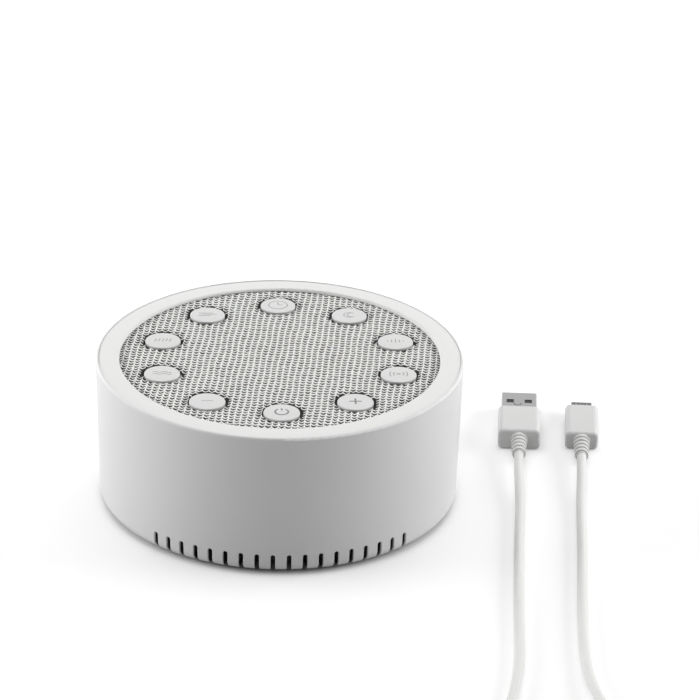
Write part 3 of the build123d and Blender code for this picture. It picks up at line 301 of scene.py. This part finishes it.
# Each plug has a white overmoulded grip with a ribbed relief, a folded steel shell, and a
# plastic core that carries the contacts. The big shell has a half-moon latch pressed into it,
# black as painted shade of its slit, and the small one has two sprung hooks in slots, which are
# thin black sheets of painted shade.
plug_grip = moulding("plug_grip", (0.70, 0.70, 0.695), 0.34, depth=0.006)
plug_steel = moulding("plug_steel", (0.42, 0.42, 0.42), 0.32, mottling=0.08, uneven=0.2,
                      grain=1800, depth=0.004, metallic=1.0)
dark_steel = moulding("dark_steel", (0.20, 0.20, 0.20), 0.32, mottling=0.08, uneven=0.2,
                      grain=1800, depth=0.004, metallic=1.0)
core_black_and_slit_shade = moulding("core_black_and_slit_shade", (0.03, 0.03, 0.03), 0.45)
finish(plug_grip, "usb_a_grip", "micro_usb_grip")
finish(plug_steel, "usb_a_shell")
finish(dark_steel, "micro_usb_shell")
finish(core_black_and_slit_shade, "usb_a_insert", "micro_usb_core")

latch_place = (82.87, 52.79, 6.05)
latch_turn = math.radians(-4.1)
latch_radius = 1.15
latch_wire = 0.16
latch_cut = 0.2                 # from the middle of the moon to its straight side
latch_flatness = 0.4
bpy.ops.object.select_all(action="DESELECT")
bpy.ops.mesh.primitive_torus_add(
    major_radius=latch_radius * MM, minor_radius=latch_wire * MM, major_segments=28,
    minor_segments=8, location=(0, 0, 0),
)
latch = bpy.context.object
latch.name = "usb_a_latch"
bpy.ops.object.mode_set(mode="EDIT")
bpy.ops.mesh.select_all(action="SELECT")
bpy.ops.mesh.bisect(
    plane_co=(0, latch_cut * MM, 0), plane_no=(0, 1, 0), clear_outer=True, use_fill=True,
)
bpy.ops.mesh.select_all(action="SELECT")
bpy.ops.transform.resize(value=(1, 1, latch_flatness), center_override=(0, 0, 0))
bpy.ops.object.mode_set(mode="OBJECT")
settle(latch, latch_place, latch_turn)
bpy.ops.object.shade_smooth()
# The latch is black as painted shade: it stands for the shade in the slit pressed into the steel.
finish(core_black_and_slit_shade, latch)
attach(latch, "housing")

hooks_place = (105.06, 54.67, 4.2)
hooks_turn = math.radians(-4.7)
hook_offset = 1.85
hook_rise = 0.2
hook_rounding = 0.25            # of a piece's thickness
for name, size, material, slot in [
    # The slots are thin black sheets on the shell: painted shade standing for the openings.
    ("micro_usb_slots", (1.15, 4.1, 0.06), core_black_and_slit_shade, "plug_core"),
    ("micro_usb_hooks", (0.50, 3.7, 0.12), plug_steel, "plug_steel"),
]:
    bpy.ops.object.select_all(action="DESELECT")
    bpy.ops.mesh.primitive_cube_add(
        size=1, scale=metres(size), location=(hook_offset * MM, 0, 0),
    )
    hooks = bpy.context.object
    hooks.name = name
    bpy.ops.object.transform_apply(location=True, rotation=True, scale=True)
    if name == "micro_usb_hooks":
        bpy.ops.object.mode_set(mode="EDIT")
        bpy.ops.mesh.select_all(action="DESELECT")
        bpy.ops.object.mode_set(mode="OBJECT")
        for vertex in hooks.data.vertices:
            vertex.select = vertex.co.z > 0 and vertex.co.y < 0
        bpy.ops.object.mode_set(mode="EDIT")
        bpy.ops.transform.translate(value=(0, 0, hook_rise * MM))
        bpy.ops.object.mode_set(mode="OBJECT")
    modify(hooks, "BEVEL", width=size[2] * hook_rounding * MM, segments=2, limit_method="ANGLE")
    modify(hooks, "MIRROR", use_mirror_merge=False)
    settle(hooks, hooks_place, hooks_turn)
    bpy.ops.object.shade_smooth_by_angle(angle=sharp_from)
    finish(material, hooks)
    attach(hooks, "housing")


# The table and the room are plain white. A wide soft lamp hangs over the machine, and one
# stands at each side, so that the wall is darkest where it faces forward.
table_radius = 3.0              # in metres
table_bounce = 0.55             # the tone that lights the pieces from below
seen_near = (0.2, 0.775)        # how far out in metres, and the tone that is seen there
seen_far = (2.5, 20.0)
glow_clear_of = 55              # the table's own light starts under the foot edge
glow_full_at = 61               # and is full just outside the wall
glow_strength = 0.32
room_light = 0.20               # what falls on the pieces, where the white that is seen is 1


def seen_by(tree, *rays):
    """One for these kinds of ray, and zero for the light that falls on the pieces."""
    path = add_node(tree, "ShaderNodeLightPath")
    seen = path.outputs[rays[0]]
    for ray in rays[1:]:
        either = add_node(tree, "ShaderNodeMath", operation="MAXIMUM")
        tree.links.new(seen, either.inputs[0])
        tree.links.new(path.outputs[ray], either.inputs[1])
        seen = either.outputs[0]
    return seen


bpy.ops.object.select_all(action="DESELECT")
bpy.ops.mesh.primitive_circle_add(vertices=96, radius=table_radius, fill_type="NGON")
table = bpy.context.object
table.name = "table"
table_white = bpy.data.materials.new("table_white")
table_white.use_nodes = True
tree = table_white.node_tree
tree.nodes.remove(tree.nodes["Principled BSDF"])
coords = add_node(tree, "ShaderNodeTexCoord")
far = add_node(tree, "ShaderNodeVectorMath", operation="LENGTH")
white = add_node(tree, "ShaderNodeMapRange", {
    "From Min": seen_near[0], "From Max": seen_far[0],
    "To Min": seen_near[1], "To Max": seen_far[1],
})
tone = add_node(tree, "ShaderNodeMix", {"A": (table_bounce, table_bounce, table_bounce, 1)},
                data_type="RGBA")
matt = add_node(tree, "ShaderNodeBsdfDiffuse")
clear = add_node(tree, "ShaderNodeMapRange", {
    "From Min": glow_clear_of * MM, "From Max": glow_full_at * MM, "To Max": glow_strength,
}, interpolation_type="SMOOTHSTEP")
lift = add_node(tree, "ShaderNodeMath", operation="MULTIPLY")
glow = add_node(tree, "ShaderNodeEmission")
both = add_node(tree, "ShaderNodeAddShader")
seen = seen_by(tree, "Is Camera Ray", "Is Glossy Ray")
links = tree.links
links.new(coords.outputs["Object"], far.inputs[0])
links.new(far.outputs["Value"], white.inputs["Value"])
links.new(white.outputs["Result"], tone.inputs["B"])
links.new(seen, tone.inputs["Factor"])
links.new(tone.outputs["Result"], matt.inputs["Color"])
links.new(far.outputs["Value"], clear.inputs["Value"])
links.new(clear.outputs["Result"], lift.inputs[0])
links.new(seen, lift.inputs[1])
links.new(lift.outputs[0], glow.inputs["Strength"])
links.new(matt.outputs["BSDF"], both.inputs[0])
links.new(glow.outputs["Emission"], both.inputs[1])
links.new(both.outputs["Shader"], tree.nodes["Material Output"].inputs["Surface"])
finish(table_white, table)

world = bpy.data.worlds.new("white_room")
world.use_nodes = True
scene.world = world
tree = world.node_tree
room = tree.nodes["Background"]
room.inputs["Color"].default_value = (1, 1, 1, 1)
level = add_node(tree, "ShaderNodeMapRange", {"To Min": room_light, "To Max": 1.0})
seen = seen_by(tree, "Is Camera Ray", "Is Glossy Ray", "Is Transmission Ray")
tree.links.new(seen, level.inputs["Value"])
tree.links.new(level.outputs["Result"], room.inputs["Strength"])

for name, place, wide, high, power in [
    # places and sizes in metres, and power in watts
    ("lamp_over", (0, 0.26, 1.28), 1.3, 1.2, 9.0),
    ("lamp_left", (-1.10, 0.14, 0.40), 0.8, 0.5, 8.6),
    ("lamp_right", (1.10, 0.14, 0.40), 0.8, 0.5, 8.6),
]:
    bpy.ops.object.light_add(type="AREA", location=place)
    lamp = bpy.context.object
    lamp.name = name
    lamp.data.shape = "RECTANGLE"
    lamp.data.size = wide
    lamp.data.size_y = high
    lamp.data.energy = power
    lamp.visible_glossy = False
    lamp.rotation_euler = (aim - Vector(place)).to_track_quat("-Z", "Y").to_euler()


# The housing is one satin white ABS moulding, 120 mm across, with a rounded foot edge and 18
# narrow vents cut through the front of it. Inside the vents the colour turns near black: painted
# shade.
base_radius = 58.8
foot_height = 1.0
foot_rounding = 3.0
vent_top = 7.2
vent_top_fade = 0.15
vent_pitch = 5.0                # in degrees round the housing, as the half width is
vent_half_width = 0.85
vent_count = 18
vent_shade_from = 0.25              # how deep in the wall a vent's painted shade starts to darken
vent_shade_full = 0.8

white_satin = moulding("white_satin", (0.80, 0.80, 0.80), 0.40, mottling=0.02, grain=2200,
                       depth=0.004)
shell_white = white_satin.copy()
shell_white.name = "shell_white"
tree = shell_white.node_tree


def maths(operation, *values):
    """One step of arithmetic in the shell's material, on sockets and plain numbers."""
    node = add_node(tree, "ShaderNodeMath", operation=operation)
    for socket, value in zip(node.inputs, values):
        if isinstance(value, (int, float)):
            socket.default_value = value
        else:
            tree.links.new(value, socket)
    return node.outputs[0]


def ramp(value, low, high):
    """Zero below low, one above high, and smooth between them. It falls if high is less."""
    node = add_node(tree, "ShaderNodeMapRange", {"From Min": low, "From Max": high},
                    interpolation_type="SMOOTHSTEP")
    tree.links.new(value, node.inputs["Value"])
    return node.outputs["Result"]


# Painted shade: within each vent, below the vents' top and deeper into the wall than its outside,
# the colour is mixed towards near black.
coords = add_node(tree, "ShaderNodeTexCoord")
split = add_node(tree, "ShaderNodeSeparateXYZ")
tree.links.new(coords.outputs["Object"], split.inputs["Vector"])
at_x, at_y, at_z = split.outputs
squares = maths("ADD", maths("MULTIPLY", at_x, at_x), maths("MULTIPLY", at_y, at_y))
from_axis = maths("SQRT", squares)
shoulder = foot_height + foot_rounding
drop = maths("DIVIDE", maths("SUBTRACT", shoulder * MM, at_z), foot_rounding * MM)
drop = maths("MAXIMUM", drop, 0)
arc = maths("SQRT", maths("MAXIMUM", maths("SUBTRACT", 1, maths("MULTIPLY", drop, drop)), 0))
outside = maths("MULTIPLY_ADD", arc, foot_rounding * MM, (base_radius - foot_rounding) * MM)
deep = ramp(maths("SUBTRACT", outside, from_axis), vent_shade_from * MM, vent_shade_full * MM)
low = ramp(at_z, (vent_top + vent_top_fade) * MM, vent_top * MM)
turn = maths("MULTIPLY", maths("ARCTAN2", at_x, maths("MULTIPLY", at_y, -1)), 180 / math.pi)
step = maths("FRACT", maths("DIVIDE", turn, vent_pitch))
off_centre = maths("MULTIPLY", maths("ABSOLUTE", maths("SUBTRACT", step, 0.5)), vent_pitch)
in_vent = maths("LESS_THAN", off_centre, vent_half_width)
in_row = maths("LESS_THAN", maths("ABSOLUTE", turn), vent_count * vent_pitch / 2)
painted_vent_shade = maths("MULTIPLY", maths("MULTIPLY", deep, low), maths("MULTIPLY", in_vent, in_row))
dark = add_node(tree, "ShaderNodeMix", {"B": (0.03, 0.03, 0.03, 1)}, data_type="RGBA")
base_colour = tree.nodes["Principled BSDF"].inputs["Base Color"]
tree.links.new(base_colour.links[0].from_socket, dark.inputs["A"])
tree.links.new(painted_vent_shade, dark.inputs["Factor"])
tree.links.new(dark.outputs["Result"], base_colour)
finish(shell_white, "outer_shell")


# The ring is a glossier white moulding with a crowned top. It clips into the housing and holds
# the edge of the cloth down.
white_gloss = moulding("white_gloss", (0.81, 0.81, 0.80), 0.30, mottling=0.015, uneven=0.06,
                       grain=1500, depth=0.002, coat=0.25)
finish(white_gloss, "top_ring")


# The cover is white jersey stretched over the grille. A plain ground, cut with a hole for each
# key, lies under stitches that are each two legs of yarn. The ground is near black: the dark
# grille seen through the knit, and painted shade in the gaps between the stitches.
cover_radius = 57.33
ground_top = 48.0
ground_bottom = 47.55
key_hole_radius = 6.4
key_hole_punch = 3
key_circle_radius = 40.15
key_angles = {
    "power": 270, "volume_down": 234, "sound_1": 198, "sound_2": 162, "sound_3": 126,
    "timer": 90, "sound_4": 54, "sound_5": 18, "sound_6": 342, "volume_up": 306,
}
key_places = {}
for key, angle in key_angles.items():
    x = key_circle_radius * math.cos(math.radians(angle))
    y = key_circle_radius * math.sin(math.radians(angle))
    key_places[key] = (x, y)

bpy.ops.object.select_all(action="DESELECT")
bpy.ops.mesh.primitive_cylinder_add(
    vertices=180, radius=cover_radius * MM, depth=(ground_top - ground_bottom) * MM,
    location=(0, 0, (ground_top + ground_bottom) / 2 * MM),
)
ground = bpy.context.object
ground.name = "cloth_ground"
for x, y in key_places.values():
    bpy.ops.object.select_all(action="DESELECT")
    bpy.ops.mesh.primitive_cylinder_add(
        vertices=64, radius=key_hole_radius * MM, depth=key_hole_punch * MM,
        location=metres((x, y, ground_top)),
    )
    punch = bpy.context.object
    bpy.ops.object.select_all(action="DESELECT")
    bpy.context.view_layer.objects.active = ground
    modify(ground, "BOOLEAN", operation="DIFFERENCE", object=punch)
    bpy.data.objects.remove(punch)
ground.select_set(True)
bpy.context.view_layer.objects.active = ground
bpy.ops.object.transform_apply(location=True, rotation=True, scale=True)

columns = 54
rows = 60
column_pitch = 2.03
row_pitch = 1.81
knit_turn = math.radians(-6.2)
yarn_sides = 4
yarn_flatness = 0.2
leg_rings = [
    # across, along and above the ground, and radius, in mm from the foot of the stitch
    (0.00, -0.50, -0.50, 0.10),
    (0.16, -0.04, 0.10, 0.37),
    (0.46, 0.30, 0.20, 0.60),
    (0.78, 0.71, 0.20, 0.50),
    (0.97, 1.20, 0.15, 0.26),
    (1.01, 2.25, -0.05, 0.18),
]
foot = leg_rings[0]
bpy.ops.object.select_all(action="DESELECT")
bpy.ops.mesh.primitive_circle_add(
    vertices=yarn_sides, radius=foot[3] * MM, fill_type="NGON",
    location=metres(foot[:3]), rotation=(math.pi / 2, 0, 0),
)
stitches = bpy.context.object
stitches.name = "cloth_stitches"
bpy.ops.object.transform_apply(location=True, rotation=True, scale=True)
bpy.ops.object.mode_set(mode="EDIT")
bpy.ops.mesh.select_all(action="SELECT")
for before, after in zip(leg_rings, leg_rings[1:]):
    move = [(after[axis] - before[axis]) * MM for axis in range(3)]
    bpy.ops.mesh.extrude_region_move(TRANSFORM_OT_translate={"value": move})
    grow = after[3] / before[3]
    bpy.ops.transform.resize(value=(grow, grow, grow), center_override=metres(after[:3]))
bpy.ops.mesh.select_all(action="SELECT")
bpy.ops.mesh.normals_make_consistent(inside=False)
bpy.ops.object.mode_set(mode="OBJECT")

modify(stitches, "MIRROR", use_mirror_merge=False)
for count, offset in [
    (columns, (column_pitch * MM, 0, 0)),
    (rows, (0, row_pitch * MM, 0)),
]:
    modify(stitches, "ARRAY", use_relative_offset=False, use_constant_offset=True,
           constant_offset_displace=offset, count=count)
bpy.ops.object.mode_set(mode="EDIT")
bpy.ops.mesh.select_all(action="SELECT")
bpy.ops.transform.resize(value=(1, 1, yarn_flatness), center_override=(0, 0, 0))
bpy.ops.transform.translate(value=(
    -(columns - 1) / 2 * column_pitch * MM, -rows / 2 * row_pitch * MM, ground_top * MM,
))
bpy.ops.object.mode_set(mode="OBJECT")
settle(stitches, (0, 0, 0), knit_turn)

# The stitches end at each key hole and under the ring, and the pull of those edges thins the
# yarn there. Elsewhere each leg differs a little from the next, in thickness and in place.
kept_radius = 53.2
trim_radius = 6.7
trim_back = 0.65                # from a leg's foot back to its middle
pulled_at_key = 8.3
pulled_at_rim = 50.4
rim_back = 1.2                  # makes the pulled edge wider at the front than at the back
pulled_yarn = 0.62
thinnest_yarn = 0.86
thickest_yarn = 1.18
waves_across = (0.13, 3.1, 4.3)  # how far a leg strays, and the waves' lengths over 2 pi
waves_along = (0.12, 1.7, -5.9)
stray_across = 0.07
stray_along = 0.13
uneven = random.Random(7)


def strayed(middle, waves, most):
    """How far a leg lies from its place: slow waves over the cloth, and a random part."""
    far, across, along = waves
    return far * math.sin(middle.x / across + middle.y / along) + uneven.uniform(-most, most)


mesh = stitches.data
leg_points = yarn_sides * len(leg_rings)
trimmed = [False] * len(mesh.vertices)
for start in range(0, len(mesh.vertices), leg_points):
    leg = mesh.vertices[start:start + leg_points]
    middle = sum((vertex.co for vertex in leg), Vector()) / leg_points / MM
    from_axis = math.hypot(middle.x, middle.y)
    from_key = min(
        math.hypot(middle.x - x, middle.y - y - trim_back) for x, y in key_places.values()
    )
    if from_axis > kept_radius or from_key < trim_radius:
        trimmed[start:start + leg_points] = [True] * leg_points
        continue
    thickness = uneven.uniform(thinnest_yarn, thickest_yarn)
    from_rim_centre = math.hypot(middle.x, middle.y - rim_back)
    if from_key < pulled_at_key or from_rim_centre > pulled_at_rim:
        thickness *= pulled_yarn
    sway = Vector((
        strayed(middle, waves_across, stray_across), strayed(middle, waves_along, stray_along), 0,
    ))
    for first in range(0, leg_points, yarn_sides):
        ring = leg[first:first + yarn_sides]
        heart = sum((vertex.co for vertex in ring), Vector()) / yarn_sides
        for vertex in ring:
            vertex.co = heart + (vertex.co - heart) * thickness + sway * MM
mesh.polygons.foreach_set("select", [False] * len(mesh.polygons))
mesh.edges.foreach_set("select", [False] * len(mesh.edges))
mesh.vertices.foreach_set("select", trimmed)
bpy.ops.object.mode_set(mode="EDIT")
bpy.ops.mesh.select_mode(type="VERT")
bpy.ops.mesh.delete(type="VERT")
bpy.ops.object.mode_set(mode="OBJECT")

# The ends of the last legs stop short of the key caps and pass under the ring.
hole_clear = 6.1
under_ring = 51.9
ring_underside = 48.16
for vertex in mesh.vertices:
    for x, y in key_places.values():
        away = Vector((vertex.co.x - x * MM, vertex.co.y - y * MM, 0))
        if away.length < hole_clear * MM:
            placed = away.normalized() * hole_clear * MM
            vertex.co.x = x * MM + placed.x
            vertex.co.y = y * MM + placed.y
    if math.hypot(vertex.co.x, vertex.co.y) > under_ring * MM:
        vertex.co.z = min(vertex.co.z, ring_underside * MM)
bpy.ops.object.shade_smooth()


def yarn_material(name, colour, fuzz, ply):
    """Spun polyester yarn: soft, a little uneven in colour, with fine fibres."""
    material = bpy.data.materials.new(name)
    material.use_nodes = True
    tree = material.node_tree
    shader = tree.nodes["Principled BSDF"]
    shader.inputs["Sheen Weight"].default_value = fuzz
    shader.inputs["Sheen Roughness"].default_value = 0.6
    shader.inputs["Specular IOR Level"].default_value = 0.25
    coords = add_node(tree, "ShaderNodeTexCoord")
    fibres = add_node(tree, "ShaderNodeTexNoise", {"Scale": ply, "Detail": 3})
    shade = add_node(tree, "ShaderNodeMapRange", {"To Min": 0.88, "To Max": 1.08})
    tint = add_node(tree, "ShaderNodeVectorMath", {0: colour}, operation="SCALE")
    rough = add_node(tree, "ShaderNodeMapRange", {"To Min": 0.75, "To Max": 0.95})
    bump = add_node(tree, "ShaderNodeBump", {"Distance": 0.06 * MM})
    links = tree.links
    links.new(coords.outputs["Object"], fibres.inputs["Vector"])
    links.new(fibres.outputs["Fac"], shade.inputs["Value"])
    links.new(shade.outputs["Result"], tint.inputs["Scale"])
    links.new(tint.outputs["Vector"], shader.inputs["Base Color"])
    links.new(fibres.outputs["Fac"], rough.inputs["Value"])
    links.new(rough.outputs["Result"], shader.inputs["Roughness"])
    links.new(fibres.outputs["Fac"], bump.inputs["Height"])
    links.new(bump.outputs["Normal"], shader.inputs["Normal"])
    return material


finish(yarn_material("white_yarn", (0.93, 0.93, 0.905), 0.15, 4000), stitches)
# Near black ground: the dark grille seen through the knit, and painted shade between the
# stitches.
finish(yarn_material("grille_and_gap_shade", (0.03, 0.03, 0.03), 0.0, 2500), ground)
for piece in (ground, stitches):
    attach(piece, "housing")
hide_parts("speaker_cloth")


# Ten round keys, each a hollow white moulding with a crowned cap. A grey mark is pad printed
# on each cap.
key_top = 48.8
crown_radius = 84.2
ink_thickness = 0.03
bold_stroke = 0.3               # half the width of a mark's line
fine_stroke = 0.17
bold_marks = ("power", "volume_up")
arc_step = 12                   # in degrees
straight_steps = 5
wave_steps = 24

key_white = moulding("key_white", (0.72, 0.72, 0.715), 0.45, mottling=0.02, grain=2600,
                     depth=0.006)
finish(key_white, *[f"button_{key}" for key in key_places])


def arc_stroke(middle, radius, begin, end):
    """A round stroke about a point, from one angle to another, in degrees."""
    count = max(4, round(abs(end - begin) / arc_step))
    turns = [math.radians(begin + (end - begin) * i / count) for i in range(count + 1)]
    return [(middle[0] + radius * math.cos(t), middle[1] + radius * math.sin(t)) for t in turns]


def straight_stroke(begin, end):
    """A straight stroke between two points, cut up so that it follows the crown."""
    across = end[0] - begin[0]
    along = end[1] - begin[1]
    return [
        (begin[0] + across * i / straight_steps, begin[1] + along * i / straight_steps)
        for i in range(straight_steps + 1)
    ]


def wave_stroke(height, width, swing):
    """A level stroke of two waves across the key."""
    return [
        (width * (i / wave_steps - 0.5), height + swing * math.sin(4 * math.pi * i / wave_steps))
        for i in range(wave_steps + 1)
    ]


marks = {
    "power": [arc_stroke((0, 0), 2.1, 125, 415), straight_stroke((0, 0.9), (0, 2.3))],
    "volume_down": [straight_stroke((-1.8, 0), (1.8, 0))],
    "volume_up": [straight_stroke((-2, 0), (2, 0)), straight_stroke((0, -2), (0, 2))],
    "timer": [
        arc_stroke((0, 0), 3.1, 0, 360), straight_stroke((0, 0), (0, 2.1)),
        straight_stroke((0, 0), (1.5, 0)),
    ],
    "sound_1": [wave_stroke(0.7, 6, 0.35), wave_stroke(-0.7, 6, 0.35)],
    "sound_2": [straight_stroke((x, -1), (x + 0.6, 1)) for x in (-2.7, -1.5, -0.3, 0.9, 2.1)],
    "sound_3": [
        straight_stroke((-3, 0.9), (2, 0.9)), straight_stroke((-2, 0), (3, 0)),
        straight_stroke((-3, -0.9), (1, -0.9)),
    ],
    "sound_4": [arc_stroke((0, 0), 1.8, 50, 310), arc_stroke((0.9, 0), 1.5, 62, 298)],
    "sound_5": [
        straight_stroke((x, -tall), (x, tall))
        for x, tall in ((-2.6, 0.4), (-1.3, 0.9), (0, 1.4), (1.3, 0.9), (2.6, 0.4))
    ],
    "sound_6": [
        arc_stroke((0, 0), 2.9, 145, 215), arc_stroke((0, 0), 1.7, 140, 220),
        arc_stroke((0, 0), 0.5, 0, 360), arc_stroke((0, 0), 1.7, -40, 40),
        arc_stroke((0, 0), 2.9, -35, 35),
    ],
}
ink_dark = moulding("ink_dark", (0.25, 0.25, 0.25), 0.5, grain=4000, depth=0.002)
ink_light = moulding("ink_light", (0.36, 0.36, 0.36), 0.5, grain=4000, depth=0.002)
for key, strokes in marks.items():
    half_width = bold_stroke if key in bold_marks else fine_stroke
    line = bpy.data.curves.new(f"mark_{key}", "CURVE")
    line.dimensions = "3D"
    line.bevel_depth = half_width * MM
    line.bevel_resolution = 1
    line.use_fill_caps = True
    for stroke in strokes:
        spline = line.splines.new("POLY")
        spline.points.add(len(stroke) - 1)
        for point, place in zip(spline.points, stroke):
            point.co = (*metres(place), 0, 1)
    mark = bpy.data.objects.new(f"mark_{key}", line)
    scene.collection.objects.link(mark)
    bpy.ops.object.select_all(action="DESELECT")
    mark.select_set(True)
    bpy.context.view_layer.objects.active = mark
    bpy.ops.object.convert(target="MESH")
    mark = bpy.context.object
    across, along = metres(key_places[key])
    for vertex in mark.data.vertices:
        here = vertex.co
        fall = (here.x ** 2 + here.y ** 2) / (2 * crown_radius * MM)
        lift = max(0, min(1, here.z / (half_width * MM))) * ink_thickness * MM
        vertex.co = (here.x + across, here.y + along, key_top * MM - fall + lift)
    finish(ink_dark if key in bold_marks else ink_light, mark)
    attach(mark, f"{key}_key")


# Inside, behind the cloth: the grille plate, the key switches on their board, and the chassis
# that carries them and the speaker. The plate and the chassis are injection moulded.
inner_grey = moulding("inner_grey", (0.42, 0.42, 0.41), 0.5)
solder_mask = moulding("solder_mask", (0.02, 0.13, 0.06), 0.35, mottling=0.2)
switch_black = moulding("switch_black", (0.03, 0.03, 0.03), 0.42)
finish(inner_grey, "inner_chassis")
finish(solder_mask, "key_board")
finish(switch_black, "speaker_grille", "switch_bodies")
finish(switch_black, *[f"switch_plunger_{key}" for key in key_places])


# The speaker is a 50 mm driver: a pressed steel frame, a paper cone on a rubber surround and
# a resin-stiffened spider, and a ferrite magnet between two plates.
pressed_black = moulding("pressed_black", (0.05, 0.05, 0.055), 0.4)
bare_steel = moulding("bare_steel", (0.55, 0.55, 0.56), 0.35, mottling=0.1, metallic=1.0)
ferrite = moulding("ferrite", (0.06, 0.06, 0.065), 0.6, mottling=0.3)
paper = moulding("paper", (0.04, 0.04, 0.042), 0.85, mottling=0.3, grain=1200, depth=0.05)
soft_rubber = moulding("soft_rubber", (0.03, 0.03, 0.03), 0.6)
spider_weave = moulding("spider_weave", (0.45, 0.30, 0.10), 0.7, mottling=0.2, depth=0.04)
copper_wire = moulding("copper_wire", (0.60, 0.25, 0.10), 0.35, metallic=1.0)
finish(pressed_black, "speaker_frame")
finish(bare_steel, "magnet_top_plate", "magnet_back_plate")
finish(ferrite, "speaker_magnet")
finish(paper, "speaker_cone", "dust_cap")
finish(soft_rubber, "speaker_surround", "speaker_gasket")
finish(spider_weave, "speaker_spider")
finish(copper_wire, "voice_coil")
finish(switch_black, "speaker_terminals")


# The main board stands on the base plate, with its power socket in the back wall, and wires
# join it to the speaker and the keys.
connector_ivory = moulding("connector_ivory", (0.72, 0.68, 0.56), 0.45)
ribbon_grey = moulding("ribbon_grey", (0.40, 0.40, 0.42), 0.5)
wire_red = moulding("wire_red", (0.50, 0.02, 0.015), 0.45)
wire_black = moulding("wire_black", (0.02, 0.02, 0.02), 0.45)
finish(solder_mask, "main_board")
finish(switch_black, "board_components")
finish(connector_ivory, "board_connectors")
finish(plug_steel, "usb_socket")
finish(ribbon_grey, "ribbon_cable")
finish(wire_red, "speaker_wire_red")
finish(wire_black, "speaker_wire_black")


# The base plate closes the housing from below. It stands on four rubber feet, and zinc plated
# screws hold it and the parts inside.
foot_rubber = moulding("foot_rubber", (0.33, 0.33, 0.33), 0.7)
screw_zinc = moulding("screw_zinc", (0.50, 0.50, 0.51), 0.33, mottling=0.1, metallic=1.0)
finish(white_satin, "base_plate")
finish(foot_rubber, "rubber_feet")
finish(screw_zinc, "housing_screws", "board_screws")
